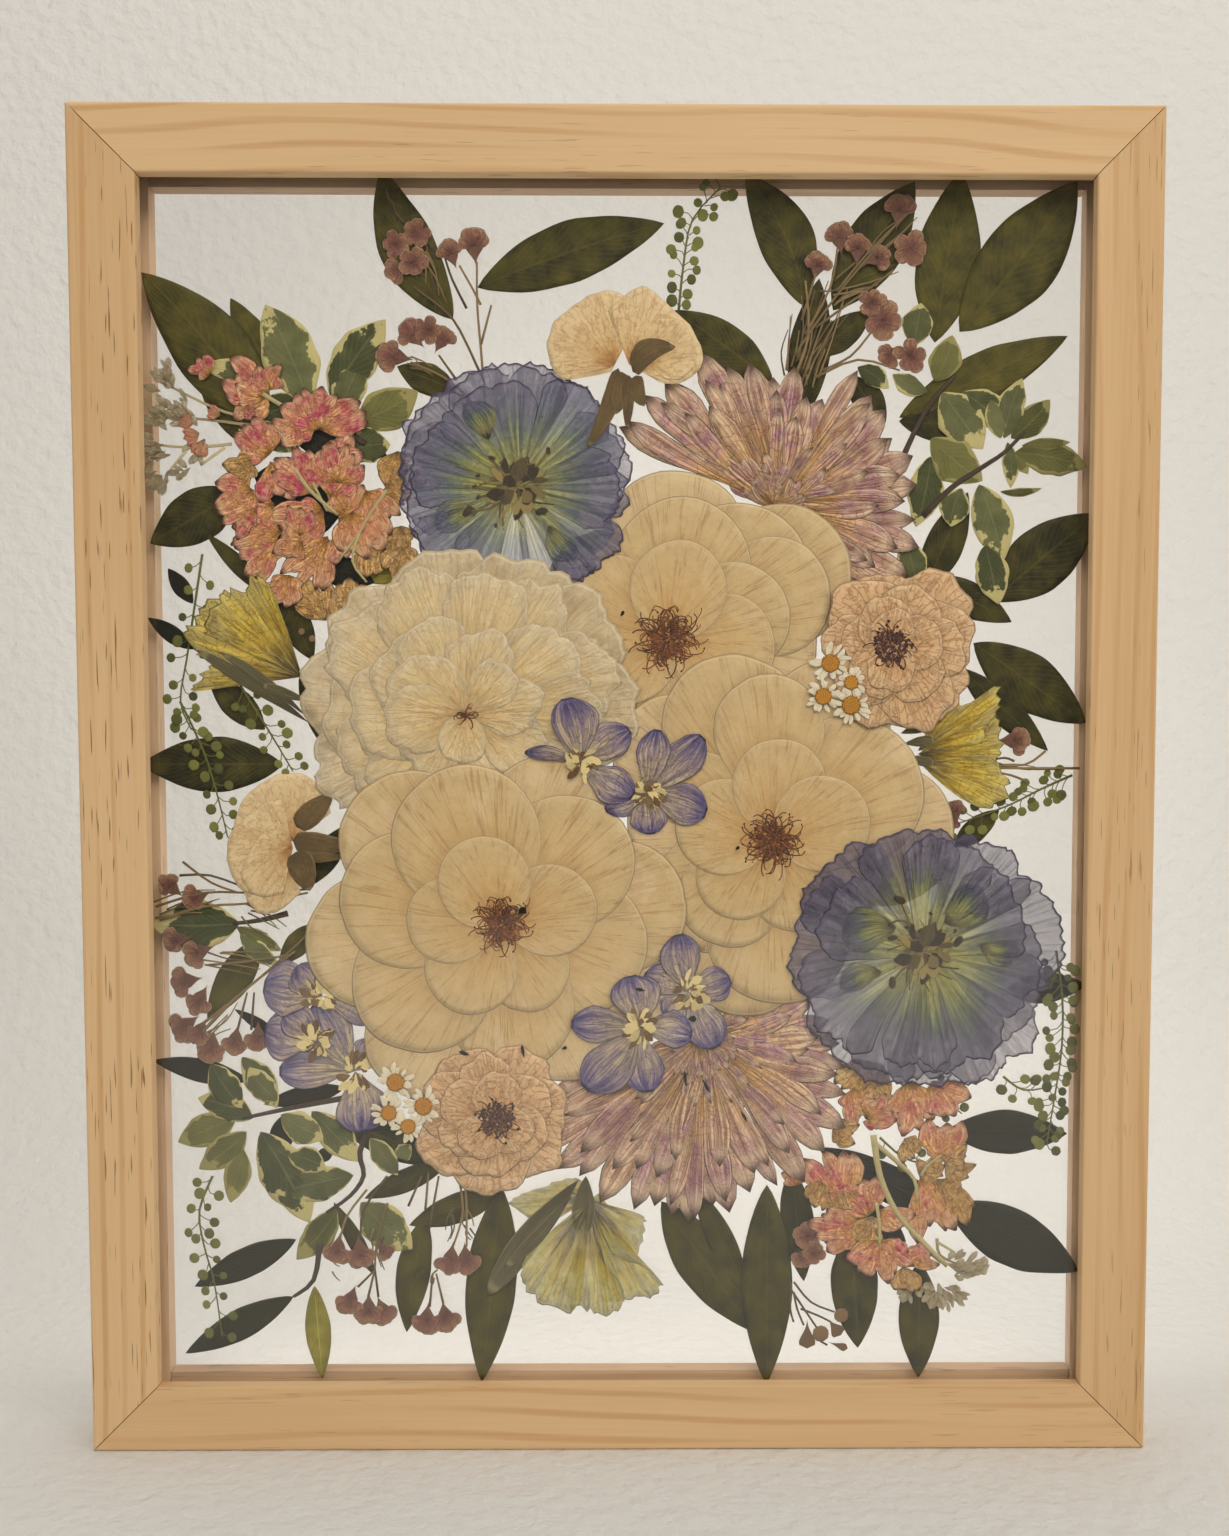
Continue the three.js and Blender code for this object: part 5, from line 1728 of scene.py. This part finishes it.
# %% Where the leaves lie
LEAF_NODES = {
    # foot, tip, width, sideways bow, paleness
    "leaf_corner_left": ((-99, 101), (-135, 147), 21, 2, 0.5),
    "leaf_top_left": ((-47, 134), (-67, 176), 16, -3, 0.4),
    "leaf_top_middle": ((-40, 143), (13, 161), 17, -1, 0.3),
    "leaf_top_right": ((97, 131), (130, 173), 22, 1, 0.45),
    "leaf_upright_right": ((90, 128), (97, 176), 18, 0, 0.5),
    "leaf_bottom_left": ((-35, -115), (-41, -174), 15, 0, 0.4),
    "leaf_bottom_middle": ((12, -120), (39, -159), 16, 0, 0.35),
    "leaf_bottom_right": ((43, -115), (43, -175), 15, 0, 0.3),
}
MORE_LEAVES = [
    (-98, 118, -110, 140, 9, 0, 0.5), (53, 138, 36, 175, 16, 3, 0.35),
    (44, 117, 16, 137, 13, 0, 0.3), (61, 137, 84, 173, 17, 0, 0.3),
    (80, 107, 128, 130, 14, 0, 0.6), (80, 106, 105, 104, 10, 0, 0.1),
    (52, 106, 57, 146, 12, 0, 0.2), (55, 124, 72, 137, 9, 0, 0.2), (76, 105, 66, 119, 9, 0, 0.2),
    (87, 57, 100, 86, 11, 0, 0.2), (88, 62, 113, 49, 10, 0, 0.2), (102, 43, 135, 20, 16, 0, 0.25),
    (98, 36, 124, 12, 9, 0, 0.2), (107, 55, 137, 80, 18, 0, 0.15),
    (-57, -124, -63, -159, 10, 1, 0.4), (-34, -117, -62, -127, 9, 0, 0.35),
    (-50, -108, -75, -119, 7, 0, 0.2), (-84, -95, -49, -109, 11, 0, 0.15),
    (22, -116, 38, -149, 8, 0, 0.3), (50, -110, 54, -144, 10, 0, 0.1),
    (-108, 86, -134, 71, 15, 0, 0.15), (-105, 98, -120, 123, 9, 0, 0.3),
    (-97, 8, -138, 8, 16, 0, 0.1), (-100, 56, -118, 74, 5, 0, 0.3), (-88, 38, -98, 60, 9, 0, 0.2),
    (-102, 18, -118, 33, 9, 0, 0.2), (-92, 33, -86, 14, 4, 0, 0.1),
    (-104, -42, -120, -66, 10, 0, 0.5), (-72, -142, -84, -120, 5, 0, 0.3),
    (-46, 114, -63, 121, 9, 0, 0.3), (-92, -28, -78, -9, 8, 0, 0.1),
    (-88, -38, -99, -50, 7, 0, 0.5), (68, -128, 70, -164, 14, 0, 0.25),
    (88, -138, 88, -173, 12, 0, 0.25), (97, -16, 110, -5, 7, 0, 0.3),
    (-100, 40, -90, 62, 7, 0, 0.2),
]
YELLOW_LEAVES = [(-90, -145, -88, -173, 7.5, 0, 0.4), (-60, 62, -77, 62, 5, 0, 0.5)]
# Leaves of near-black colour, partly painted shade, that show in the gaps between the flowers.
BLACK_LEAVES = [
    (-122, 54, -129, 64, 5, 0, 0.3), (-122, 41, -135, 50, 5, 0, 0.3),
    (-108, -84, -136, -78, 7, 0, 0.4), (-80, -86, -104, -91, 6, 0, 0.3),
    (-98, -94, -100, -107, 7, 0, 0.3), (-98, -72, -112, -63, 3.5, 0, 0.2),
    (-88, 66, -70, 60, 9, 0, 0.2), (-104, 90, -78, 84, 16, 0, 0.2),
    (-104, 72, -74, 92, 18, 0, 0.1), (-96, 104, -66, 96, 12, 0, 0.2),
    (-84, -104, -89, -108, 4, 0, 0.2), (96, -99, 131, -100, 13, 0, 0.6),
    (96, -121, 135, -141, 17, 0, 0.6), (112, -58, 136, -56, 9, 0, 0.3),
    (58, -104, 100, -126, 11, 0, 0.1), (62, -118, 84, -132, 11, 0, 0.1),
    (-95, -131, -125, -145, 9, 0, 0.7), (-96, -148, -128, -165, 9, 0, 0.9),
    (100, 21, 86, 22, 4, 0, 0.3),
]


# %% Dark leaves
def leaf(bm, foot, tip, width, bow, tone, depth, seed, frill=0.05):
    """A sheet from foot to tip, with a shallow trough along its midrib."""
    reach = math.dist(foot, tip)
    long_petal(bm, foot, bearing(foot, tip), reach, width, depth, columns=8, rows=24,
               belly=0.48, taper=0.85, bow=bow, frill=frill, lobes=6, wave=0.03, trough=-0.03,
               tone=tone, seed=seed)


def leaf_bed(name, leaves, finish, layer):
    """Leaves that overlap lie one behind the other."""
    bm = open_sheets()
    step = 0.22 / len(leaves)
    for i, (x, z, tip_x, tip_z, width, bow, tone) in enumerate(leaves):
        depth = layer_back(layer) - 0.04 - step * i
        leaf(bm, (x, z), (tip_x, tip_z), width, bow, tone, depth, i)
    finish_piece(bm, name, finish, None, SHEET)


for i, (node, (foot, tip, width, bow, tone)) in enumerate(LEAF_NODES.items()):
    bm = open_sheets()
    leaf(bm, foot, tip, width, bow, tone, depths(node)[1] - 0.12, 40 + i)
    finish_piece(bm, node + "_sheet", olive_leaf, node, SHEET)
leaf_bed("more_leaves", MORE_LEAVES, olive_leaf, 10)
leaf_bed("yellow_leaves", YELLOW_LEAVES, yellow_leaf, 10)
leaf_bed("black_leaves", BLACK_LEAVES, black_leaf_and_shade, 9)


# %% [markdown]
# ## Pittosporum
#
# Four sprigs of a variegated shrub: oval grey-green leaves with a ragged cream edge, on dark
# twigs. The youngest leaves are still yellow-green. The finish gives each leaf its margin.

# %% Pittosporum finishes
twigs = stamen_finish("twigs", (40, 26, 16), (104, 80, 52))
variegated = leaf_finish(
    "variegated_leaf", (62, 68, 34), (112, 114, 72), (130, 132, 92), (204, 192, 132),
    margin=0.2, share=0.85, count=9, slant=0.45, ragged=1.3, vein_share=0.12, midrib_share=0.3,
)
young = leaf_finish(
    "young_leaf", (70, 72, 30), (112, 110, 58), (134, 132, 80), (178, 168, 108),
    margin=0.2, share=0.6, count=9, slant=0.45, ragged=0.8, vein_share=0.25, midrib_share=0.4,
)

# %% Where the pittosporum lies
PITTOSPORUMS = {
    # twigs as paths, then leaves as foot, tip, width and whether young (1) or not (0)
    "pittosporum_top_left": ([[(-72, 99), (-80, 104), (-89, 108), (-104, 100)]],
        [(-108, 104, -86, 112, 9, 0), (-100, 118, -118, 121, 7, 0), (-88, 110, -100, 138, 16, 0),
        (-82, 112, -66, 134, 13, 0), (-80, 107, -73, 123, 10, 0), (-75, 105, -57, 114, 12, 1),
        (-77, 97, -65, 99, 10, 0), (-104, 101, -92, 97, 4, 0)]),
    "pittosporum_right": ([[(80, 93), (84, 102), (89, 111), (96, 119)],
        [(87, 79), (95, 87), (104, 93), (110, 97), (116, 103)]], [(89, 96, 85, 76, 10, 0),
        (82, 73, 86, 58, 9, 0), (78, 119, 88, 114, 6, 0), (68, 121, 77, 115, 6, 0),
        (84, 127, 86, 139, 9, 0), (90, 117, 95, 130, 9, 1), (98, 114, 110, 104, 10, 0),
        (92, 114, 104, 98, 13, 0), (89, 101, 104, 89, 12, 1), (111, 100, 112, 87, 5, 0),
        (113, 97, 117, 91, 4, 1), (109, 86, 121, 87, 2.5, 1), (113, 97, 134, 93, 10, 1),
        (115, 99, 129, 100, 3.5, 1), (112, 101, 123, 112, 8, 1), (110, 101, 115, 118, 8, 0),
        (109, 101, 106, 112, 6, 0), (98, 87, 95, 76, 9, 0), (103, 88, 110, 66, 12, 0),
        (105, 71, 109, 54, 10, 0)]),
    "pittosporum_bottom_left": ([[(-72, -95), (-76, -105), (-75, -112), (-79, -118), (-86, -123)],
        [(-80, -89), (-96, -92), (-110, -95)], [(-88, -132), (-90, -143), (-96, -148)]],
        [(-105, -99, -91, -126, 15, 0), (-78, -112, -101, -117, 11, 0),
        (-76, -120, -61, -134, 13, 0), (-83, -122, -95, -137, 9, 1), (-90, -93, -76, -108, 10, 0),
        (-99, -94, -86, -101, 9, 0), (-97, -106, -86, -110, 8, 0), (-73, -101, -65, -112, 7, 0),
        (-66, -106, -61, -103, 5, 0), (-110, -77, -100, -92, 9, 0), (-112, -95, -129, -102, 10, 1),
        (-107, -95, -123, -89, 9, 0), (-109, -99, -123, -110, 9, 1),
        (-110, -104, -114, -120, 8, 1), (-119, -79, -110, -92, 9, 0),
        (-100, -90, -108, -80, 8, 0)]),
    "pittosporum_left": ([[(-96, -35), (-104, -37), (-112, -38)]], [(-110, -38, -136, -38, 15, 0),
        (-111, -39, -98, -46, 5, 1), (-110, -41, -99, -50, 6, 0)]),
}

# %% Pittosporum sprigs
LEAF_KINDS = ((variegated, 0, "leaves"), (young, 1, "young_leaves"))

for node, (paths, leaves) in PITTOSPORUMS.items():
    front, back = depths(node)
    for finish, kind, label in LEAF_KINDS:
        bm = open_sheets()
        for i, (x, z, tip_x, tip_z, width, age) in enumerate(leaves):
            if age == kind:
                leaf(bm, (x, z), (tip_x, tip_z), width, (i % 3 - 1) * 0.7, (i * 0.37) % 1,
                     back - 0.05 - 0.008 * i, i, frill=0.14)
        whole = node if not kind else None
        finish_piece(bm, f"{node}_{label}", finish, whole, SHEET)
    bm = open_sheets()
    for path in paths:
        add_tube(bm, path, 1.9, 1.0, front + 0.04, flat=0.05, tone=0.2)
    finish_piece(bm, node + "_twigs", twigs)

# %% [markdown]
# ## Waxflower
#
# A waxflower is a waxy little cone with five round petals on top, on a stem as thin as wire
# between needle leaves. The cones have dried maroon and the petals tan-pink. A flower pressed
# on its side shows its cone; one that was pressed face up is a rosette. Each is given by the
# middle of its petals, its bearing (None for a rosette) and its size.

# %% Waxflower finishes
wax_petals = petal_finish(
    "waxflower_petals",
    [(0.0, (66, 32, 34)), (0.34, (120, 78, 62)), (0.66, (176, 134, 98)), (1.0, (190, 152, 114))],
    aged=(142, 92, 84), vein=(90, 54, 40), outline=(54, 30, 24), highlight_colour=(236, 196, 156),
    shade_colour=(80, 44, 40), width=0.09, age=1.2, relief=0.0004, streaks=0.3, pleat=0.25,
)
wax_cones = petal_finish(
    "waxflower_cones",
    [(0.0, (120, 96, 66)), (0.5, (104, 66, 54)), (1.0, (78, 36, 40))],
    aged=(130, 96, 72), vein=(64, 34, 30), outline=(48, 26, 24), highlight_colour=(150, 110, 86),
    count=3, rim=0.15, age=0.8, crinkle=3,
)
wax_stems = stamen_finish("waxflower_stems", (64, 48, 24), (138, 116, 74))

# %% Where the waxflowers lie
WAXFLOWERS = {
    # flowers, then stems, then needles as start, end and how many
    "waxflower_top_left": ([
        (-57, 158, None, 4.4), (-63, 155, None, 4), (-58, 150, None, 4.4), (-64, 147, 200, 4),
        (-48, 154, 110, 4), (-41, 157, 95, 5), (-60, 131, 135, 4.4), (-54, 131, None, 4),
        (-49, 130, 60, 4), (-66, 124, 170, 5)], [
        [(-40, 150), (-40, 138), (-39, 125), (-38, 112)], [(-45, 149), (-41, 142), (-39, 138)],
        [(-58, 143), (-50, 137), (-45, 131), (-38, 116)], [(-59, 122), (-50, 118), (-42, 112)],
        [(-36, 138), (-39, 127)], [(-51, 124), (-46, 117)], [(-49, 151), (-47, 145), (-43, 137)]],
        [(-57, 155, -48, 132, 9), (-64, 168, -55, 156, 3), (-58, 121, -46, 115, 4)]),
    "waxflower_top_right": ([
        (62, 159, 100, 4.4), (57, 151, 75, 4), (68, 156, 85, 4.4), (75, 152, 20, 4),
        (83, 154, None, 5), (80, 167, 80, 5), (75, 134, None, 6), (83, 124, None, 5),
        (76, 124, 200, 3.6), (72, 139, None, 4)], [
        [(62, 154), (60, 143), (53, 130)], [(56, 147), (52, 134)], [(67, 150), (61, 145)],
        [(78, 160), (66, 146), (56, 133), (50, 124)], [(84, 166), (70, 152), (62, 142)],
        [(78, 148), (70, 142), (56, 132)], [(72, 131), (66, 124), (58, 120)],
        [(80, 120), (68, 123), (56, 118)], [(53, 145), (54, 130), (50, 118)]],
        [(54, 118, 66, 146, 12), (60, 140, 80, 146, 6), (50, 120, 55, 145, 8),
         (70, 150, 86, 166, 4)]),
    "waxflower_left": ([
        (-131, -26, 140, 4), (-124, -31, 200, 4), (-130, -43, 190, 4), (-124, -47, 200, 4.4),
        (-128, -55, 190, 4.6), (-123, -62, 240, 4.4), (-128, -69, 215, 4.6), (-123, -71, 240, 4),
        (-119, -76, 260, 4.6), (-112, -74, 260, 4.2), (-105, -73, 270, 4.2)], [
        [(-88, -39), (-100, -50), (-112, -60), (-122, -68)],
        [(-94, -46), (-107, -56), (-118, -66), (-124, -73)],
        [(-95, -47), (-108, -49), (-119, -50)],
        [(-106, -58), (-107, -69)], [(-108, -58), (-111, -69)],
        [(-90, -28), (-105, -29), (-120, -29), (-134, -33)],
        [(-90, -29), (-106, -32), (-120, -33), (-133, -37)],
        [(-107, -28), (-118, -24), (-127, -24)],
        [(-110, -29), (-118, -26), (-126, -20)]],
        [(-118, -47, -98, -50, 5), (-122, -72, -104, -54, 7), (-133, -34, -112, -28, 6),
         (-107, -33, -96, -40, 5)]),
    "waxflower_bottom_left": ([
        (-83, -136, 262, 4.6), (-76, -137, 275, 4.8), (-68, -135, 320, 3), (-80, -151, 250, 4.4),
        (-74, -154, 268, 4.6), (-69, -154, 290, 4.2)], [
        [(-72, -140), (-77, -145)], [(-72, -140), (-74, -148)], [(-72, -139), (-71, -148)],
        [(-82, -131), (-80, -124), (-74, -116)], [(-76, -131), (-75, -122), (-68, -112)],
        [(-72, -140), (-71, -130), (-68, -120)]],
        [(-72, -130, -74, -146, 4), (-82, -138, -79, -142, 3)]),
    "waxflower_bottom_middle": ([
        (-50, -139, 262, 4.6), (-45, -139, 275, 4.6), (-57, -157, 265, 4.6),
        (-51, -156, 280, 4.4)], [
        [(-55, -141), (-56, -151)], [(-54, -141), (-52, -150)],
        [(-49, -133), (-46, -122), (-48, -108)], [(-45, -133), (-45, -120), (-46, -108)],
        [(-58, -112), (-62, -121)], [(-56, -111), (-57, -122)], [(-53, -112), (-56, -128)]],
        [(-47, -124, -49, -133, 5), (-44, -125, -40, -133, 4), (-55, -142, -58, -149, 3)]),
}
LOOSE_WAXFLOWERS = ([
    (116, 15, 0, 4.6), (94, 29, None, 3.6), (97, -4, 100, 3), (96, -9, 250, 2.6),
    (55, -130, None, 4.6), (57, -135, None, 3.6), (53, -138, 250, 3.6)], [
    [(107, 8), (117, 8), (123, 12)], [(106, 7), (118, 7), (133, 7)],
    [(107, 6), (113, 5), (118, 3)], [(106, 9), (111, 10), (114, 9)]], [(109, 9, 133, 6, 3)])


# %% One waxflower
def wax_flower(cones, petals, spot, angle, size, depth, seed):
    """Five round petals: a fan over a cone along the bearing, or a rosette without one."""
    if angle is None:
        mouth, turns, reach = spot, [i * 72 + seed * 31 for i in range(5)], size
    else:
        mouth = polar(spot, angle, -0.5 * size)
        turns, reach = [angle + i for i in (-62, 62, -32, 32, 0)], size * 1.05
        foot = polar(mouth, angle, -1.15 * size)
        long_petal(cones, foot, angle, 1.45 * size, size, depth + 0.02, columns=6, rows=8,
                   belly=0.75, taper=0.75, frill=0.08, tone=random.random(), seed=seed)
    for i, turn in enumerate(turns):
        turn += jitter(8)
        long_petal(petals, mouth, turn, reach * random.uniform(0.85, 1.1),
                   size * random.uniform(0.75, 1.0), depth - 0.006 * i, columns=8, rows=8,
                   belly=0.62, taper=0.48, frill=0.16, lobes=3, wave=0.012,
                   tone=random.random(), seed=seed + i, blunt=0.03)


# %% Waxflower sprigs
def needles(bm, start, end, count, depth):
    """Thin leaves laid roughly from start to end, each its own way."""
    for _ in range(count):
        first = [v + jitter(3) for v in start]
        reach = math.dist(start, end) * random.uniform(0.35, 0.9)
        angle = bearing(start, end) + jitter(9)
        middle = polar(polar(first, angle, reach / 2), angle + 90, jitter(1.5))
        last = polar(first, angle, reach)
        add_tube(bm, [first, middle, last], 0.6, 0.3, depth, flat=0.1, tone=random.random())


def waxflowers(name, node, flowers, stems, tufts, front, back, seed):
    """One sprig: petals, cones and wiry parts are three pieces with three finishes."""
    random.seed(seed)
    cones, petals, wires = open_sheets(), open_sheets(), open_sheets()
    for i, (x, z, angle, size) in enumerate(flowers):
        wax_flower(cones, petals, (x, z), angle, size, front + 0.1 - 0.006 * i, seed + i)
    for path in stems:
        add_tube(wires, path, 0.6, 0.8, back - 0.08, flat=0.1, tone=random.random())
    for x, z, end_x, end_z, count in tufts:
        needles(wires, (x, z), (end_x, end_z), count, back - 0.05)
    finish_piece(petals, name + "_petals", wax_petals, node, SHEET)
    finish_piece(cones, name + "_cones", wax_cones, None, SHEET)
    finish_piece(wires, name + "_stems", wax_stems)


for i, (node, (flowers, stems, tufts)) in enumerate(WAXFLOWERS.items()):
    waxflowers(node, node, flowers, stems, tufts, *depths(node), seed=100 + 12 * i)
waxflowers("loose_waxflower", None, *LOOSE_WAXFLOWERS, layer_back(6) - 0.24, layer_back(6),
           seed=180)

# %% [markdown]
# ## Pennycress
#
# Stems with round flat seed pods on hair-thin stalks to the left and right by turns. Pods
# are flattened spheres. The stems are given from their foot up, with the number of
# pods on each.

# %% Where the pennycress lies
pods = stamen_finish("pennycress_pods", (66, 72, 14), (122, 124, 50))
PENNYCRESSES = {
    "pennycress_top": ([(17, 136), (18.5, 150), (21, 162), (29, 171)], 26),
    "pennycress_left_upper": ([(-119, 68), (-122, 50), (-124, 38), (-126, 26), (-123, 18)], 18),
    "pennycress_left_lower": ([(-126, 26), (-120, 13), (-116, 0), (-113, -13)], 20),
    "pennycress_right_upper": ([(131, 5), (122, 1), (112, -4), (98, -9)], 26),
    "pennycress_right_lower": ([(127, -46), (129, -60), (129, -75), (127, -90), (125, -103)], 46),
    "pennycress_bottom_left": ([(-119, -112), (-123, -122), (-122, -132), (-119, -144),
                                (-117, -160)], 20),
    "loose_pennycress_left": ([(-109, 31), (-101, 18), (-94, 6)], 14),
    "loose_pennycress_right": ([(97, -82), (94, -88), (100, -94)], 6),
    "loose_pennycress_low": ([(112, -83), (118, -87), (126, -86)], 8),
    "loose_pennycress_gap": ([(76, -101), (83, -107), (90, -109)], 5),
}


# %% Pennycress
def along_path(points, share):
    """The spot and the bearing that share of the way along straight legs."""
    last = len(points) - 1
    leg = min(int(share * last), last - 1)
    t = share * last - leg
    (x0, z0), (x1, z1) = points[leg], points[leg + 1]
    return (x0 + t * (x1 - x0), z0 + t * (z1 - z0)), bearing((x0, z0), (x1, z1))


random.seed(77)
for node, (stem, count) in PENNYCRESSES.items():
    owner = node if node in nodes else None
    front, back = depths(node) if owner else (layer_back(8) - 0.26, layer_back(8))
    bm = open_sheets()
    add_tube(bm, stem, 0.8, 0.4, back - 0.06, flat=0.1, tone=0.4)
    for i in range(count):
        spot, angle = along_path(stem, (i + random.random()) / count)
        side = 1 if i % 2 else -1
        bend = polar(spot, angle + side * random.uniform(25, 50), random.uniform(1, 2.5))
        pod = polar(bend, angle + side * random.uniform(50, 95), random.uniform(1, 3.4))
        add_tube(bm, [spot, bend, pod], 0.32, 0.28, back - 0.06, flat=0.15, steps=2, tone=0.4)
        add_bead(bm, pod, back - 0.12, random.uniform(2.2, 3.3), flat=0.05, detail=2,
                 tone=random.random(), stretch=random.uniform(1, 1.2), angle=angle)
    finish_piece(bm, node + "_pods", pods, owner)

# %% [markdown]
# ## Small things between the flowers
#
# Pale statice at the left edge and low on the right, a sprig of brown berries, and a few dark
# specks where seeds and bits of calyx came off during pressing.

# %% Statice and bud finishes
statice = petal_finish(
    "statice",
    [(0.0, (160, 142, 100)), (0.5, (216, 202, 162)), (1.0, (236, 226, 196))],
    aged=(176, 156, 116), vein=(120, 100, 66), outline=(110, 92, 62), highlight_colour=(224, 214, 184),
    count=3, age=0.9, relief=0.0004, alpha=0.7,
)
bud_pink = petal_finish(
    "pink_buds",
    [(0.0, (176, 138, 90)), (0.5, (210, 150, 114)), (1.0, (204, 118, 98))],
    aged=(216, 170, 128), vein=(140, 70, 50), outline=(110, 56, 42), highlight_colour=(230, 170, 136),
    count=3, relief=0.0004,
)
statice_stems = stamen_finish("statice_stems", (146, 130, 90), (196, 182, 140))
berries = stamen_finish("berries", (62, 44, 26), (142, 112, 74))

# %% Statice
STATICE_CLUMPS = [
    # middle, spread, how many bracts, the bearing that they fan along
    (-128, 116, 3.5, 9, 120), (-128, 106, 4, 12, 170), (-122, 107, 4, 9, 150),
    (-131, 97, 4, 10, 190), (-130, 90, 3, 7, 230), (-119, 98, 3, 5, 240), (-123, 92, 2.5, 3, 180),
    (98, -140, 3.5, 10, 10), (103, -140, 3, 8, 30), (97, -147, 3.5, 10, -50),
    (92, -146, 3, 7, -100), (85, -145, 2.5, 6, -90),
]
STATICE_STEMS = [
    [(-95, 104), (-112, 108), (-127, 115)], [(-95, 103), (-110, 105), (-129, 107)],
    [(-96, 102), (-104, 104), (-118, 106)], [(-110, 99), (-122, 98), (-134, 99)],
    [(-123, 97), (-129, 90)], [(-112, 98), (-119, 93)], [(-100, 104), (-104, 102), (-108, 103)],
    [(93, -131), (94, -136), (100, -139)], [(88, -131), (94, -138), (103, -139)],
    [(93, -132), (98, -135)],
]
random.seed(31)
bm = open_sheets()
for i, (x, z, spread, count, aim) in enumerate(STATICE_CLUMPS):
    for j in range(2 * count):
        foot = polar((x, z), random.uniform(0, 360), spread * random.random())
        long_petal(bm, foot, aim + jitter(45), random.uniform(2.8, 5.4),
                   random.uniform(1.2, 2.4), layer_back(7) - 0.06 - 0.01 * j, columns=5, rows=7,
                   frill=0.3, tone=random.random(), seed=i + j)
finish_piece(bm, "statice_bracts", statice, None, SHEET)
bm = open_sheets()
for path in STATICE_STEMS:
    add_tube(bm, path, 1.0, 0.7, layer_back(7) - 0.04, flat=0.06, tone=random.random())
finish_piece(bm, "statice_stems", statice_stems)

# %% Pink buds
PINK_BUDS = [(-119, 102, 5, 200), (-118, 100, 5, 250), (-121, 104, 4, 150), (-113, 107, 4, 160)]
bm = open_sheets()
for i, (x, z, size, angle) in enumerate(PINK_BUDS):
    for side in (-25, 0, 25):
        long_petal(bm, (x, z), angle + side, size, size * 0.5, layer_back(6) - 0.1 - 0.01 * i,
                   columns=6, rows=8, frill=0.2, tone=random.random(), seed=i)
finish_piece(bm, "pink_buds", bud_pink, None, SHEET)

# %% Berries
BERRIES = [(65, -154, 4.4), (59, -159.5, 5), (-91, 46, 2), (-88, 44, 2)]
BERRY_CUPS = [((55, -155), (55, -164), 5), ((61, -155), (65, -160), 4.6),
              ((61, -162), (67, -164), 2.4)]
BERRY_STEMS = [
    [(51, -144), (56, -150), (63, -153)], [(50, -146), (54, -152), (58, -158)],
    [(51, -147), (52, -152), (54, -157)], [(53, -152), (58, -154), (62, -156)],
    [(56, -160), (61, -163)], [(50, -144), (50, -152), (51, -156)],
]
bm = open_sheets()
for x, z, size in BERRIES:
    add_bead(bm, (x, z), layer_back(8) - 0.13, size, flat=0.05, detail=2, tone=0.7)
for foot, tip, width in BERRY_CUPS:
    long_petal(bm, foot, bearing(foot, tip), math.dist(foot, tip), width, layer_back(8) - 0.1,
               columns=6, rows=8, belly=0.8, taper=0.6, tone=0.4)
for path in BERRY_STEMS:
    add_tube(bm, path, 0.7, 0.6, layer_back(8) - 0.06, flat=0.08, tone=0.2)
finish_piece(bm, "berry_sprig", berries)

# %% Dark specks
SPECKS = [
    # middle, length, width, bearing
    (1, 51, 2, 1, 60), (-28, -75, 4, 1, 100), (-45, -75.5, 3.4, 1.2, 160), (-16, -74, 1.6, 1, 20),
    (34, -16, 1.6, 1, 40), (-28, -34, 2.6, 2, 30), (-12, 10.5, 1, 0.7, 0), (21, -65.5, 2.4, 2, 0),
    (6, -57, 3, 1, 170), (25, -85, 5, 0.9, -60), (19, -83, 5, 0.9, 95), (36, -94, 4, 0.8, -60),
]
bm = open_sheets()
for i, (x, z, length, width, angle) in enumerate(SPECKS):
    long_petal(bm, polar((x, z), angle, -length / 2), angle, length, width,
               layer_back(0) - 0.255, columns=5, rows=6, frill=0.3, tone=0.2, seed=i)
finish_piece(bm, "dark_specks", black_leaf_and_shade, None, SHEET)
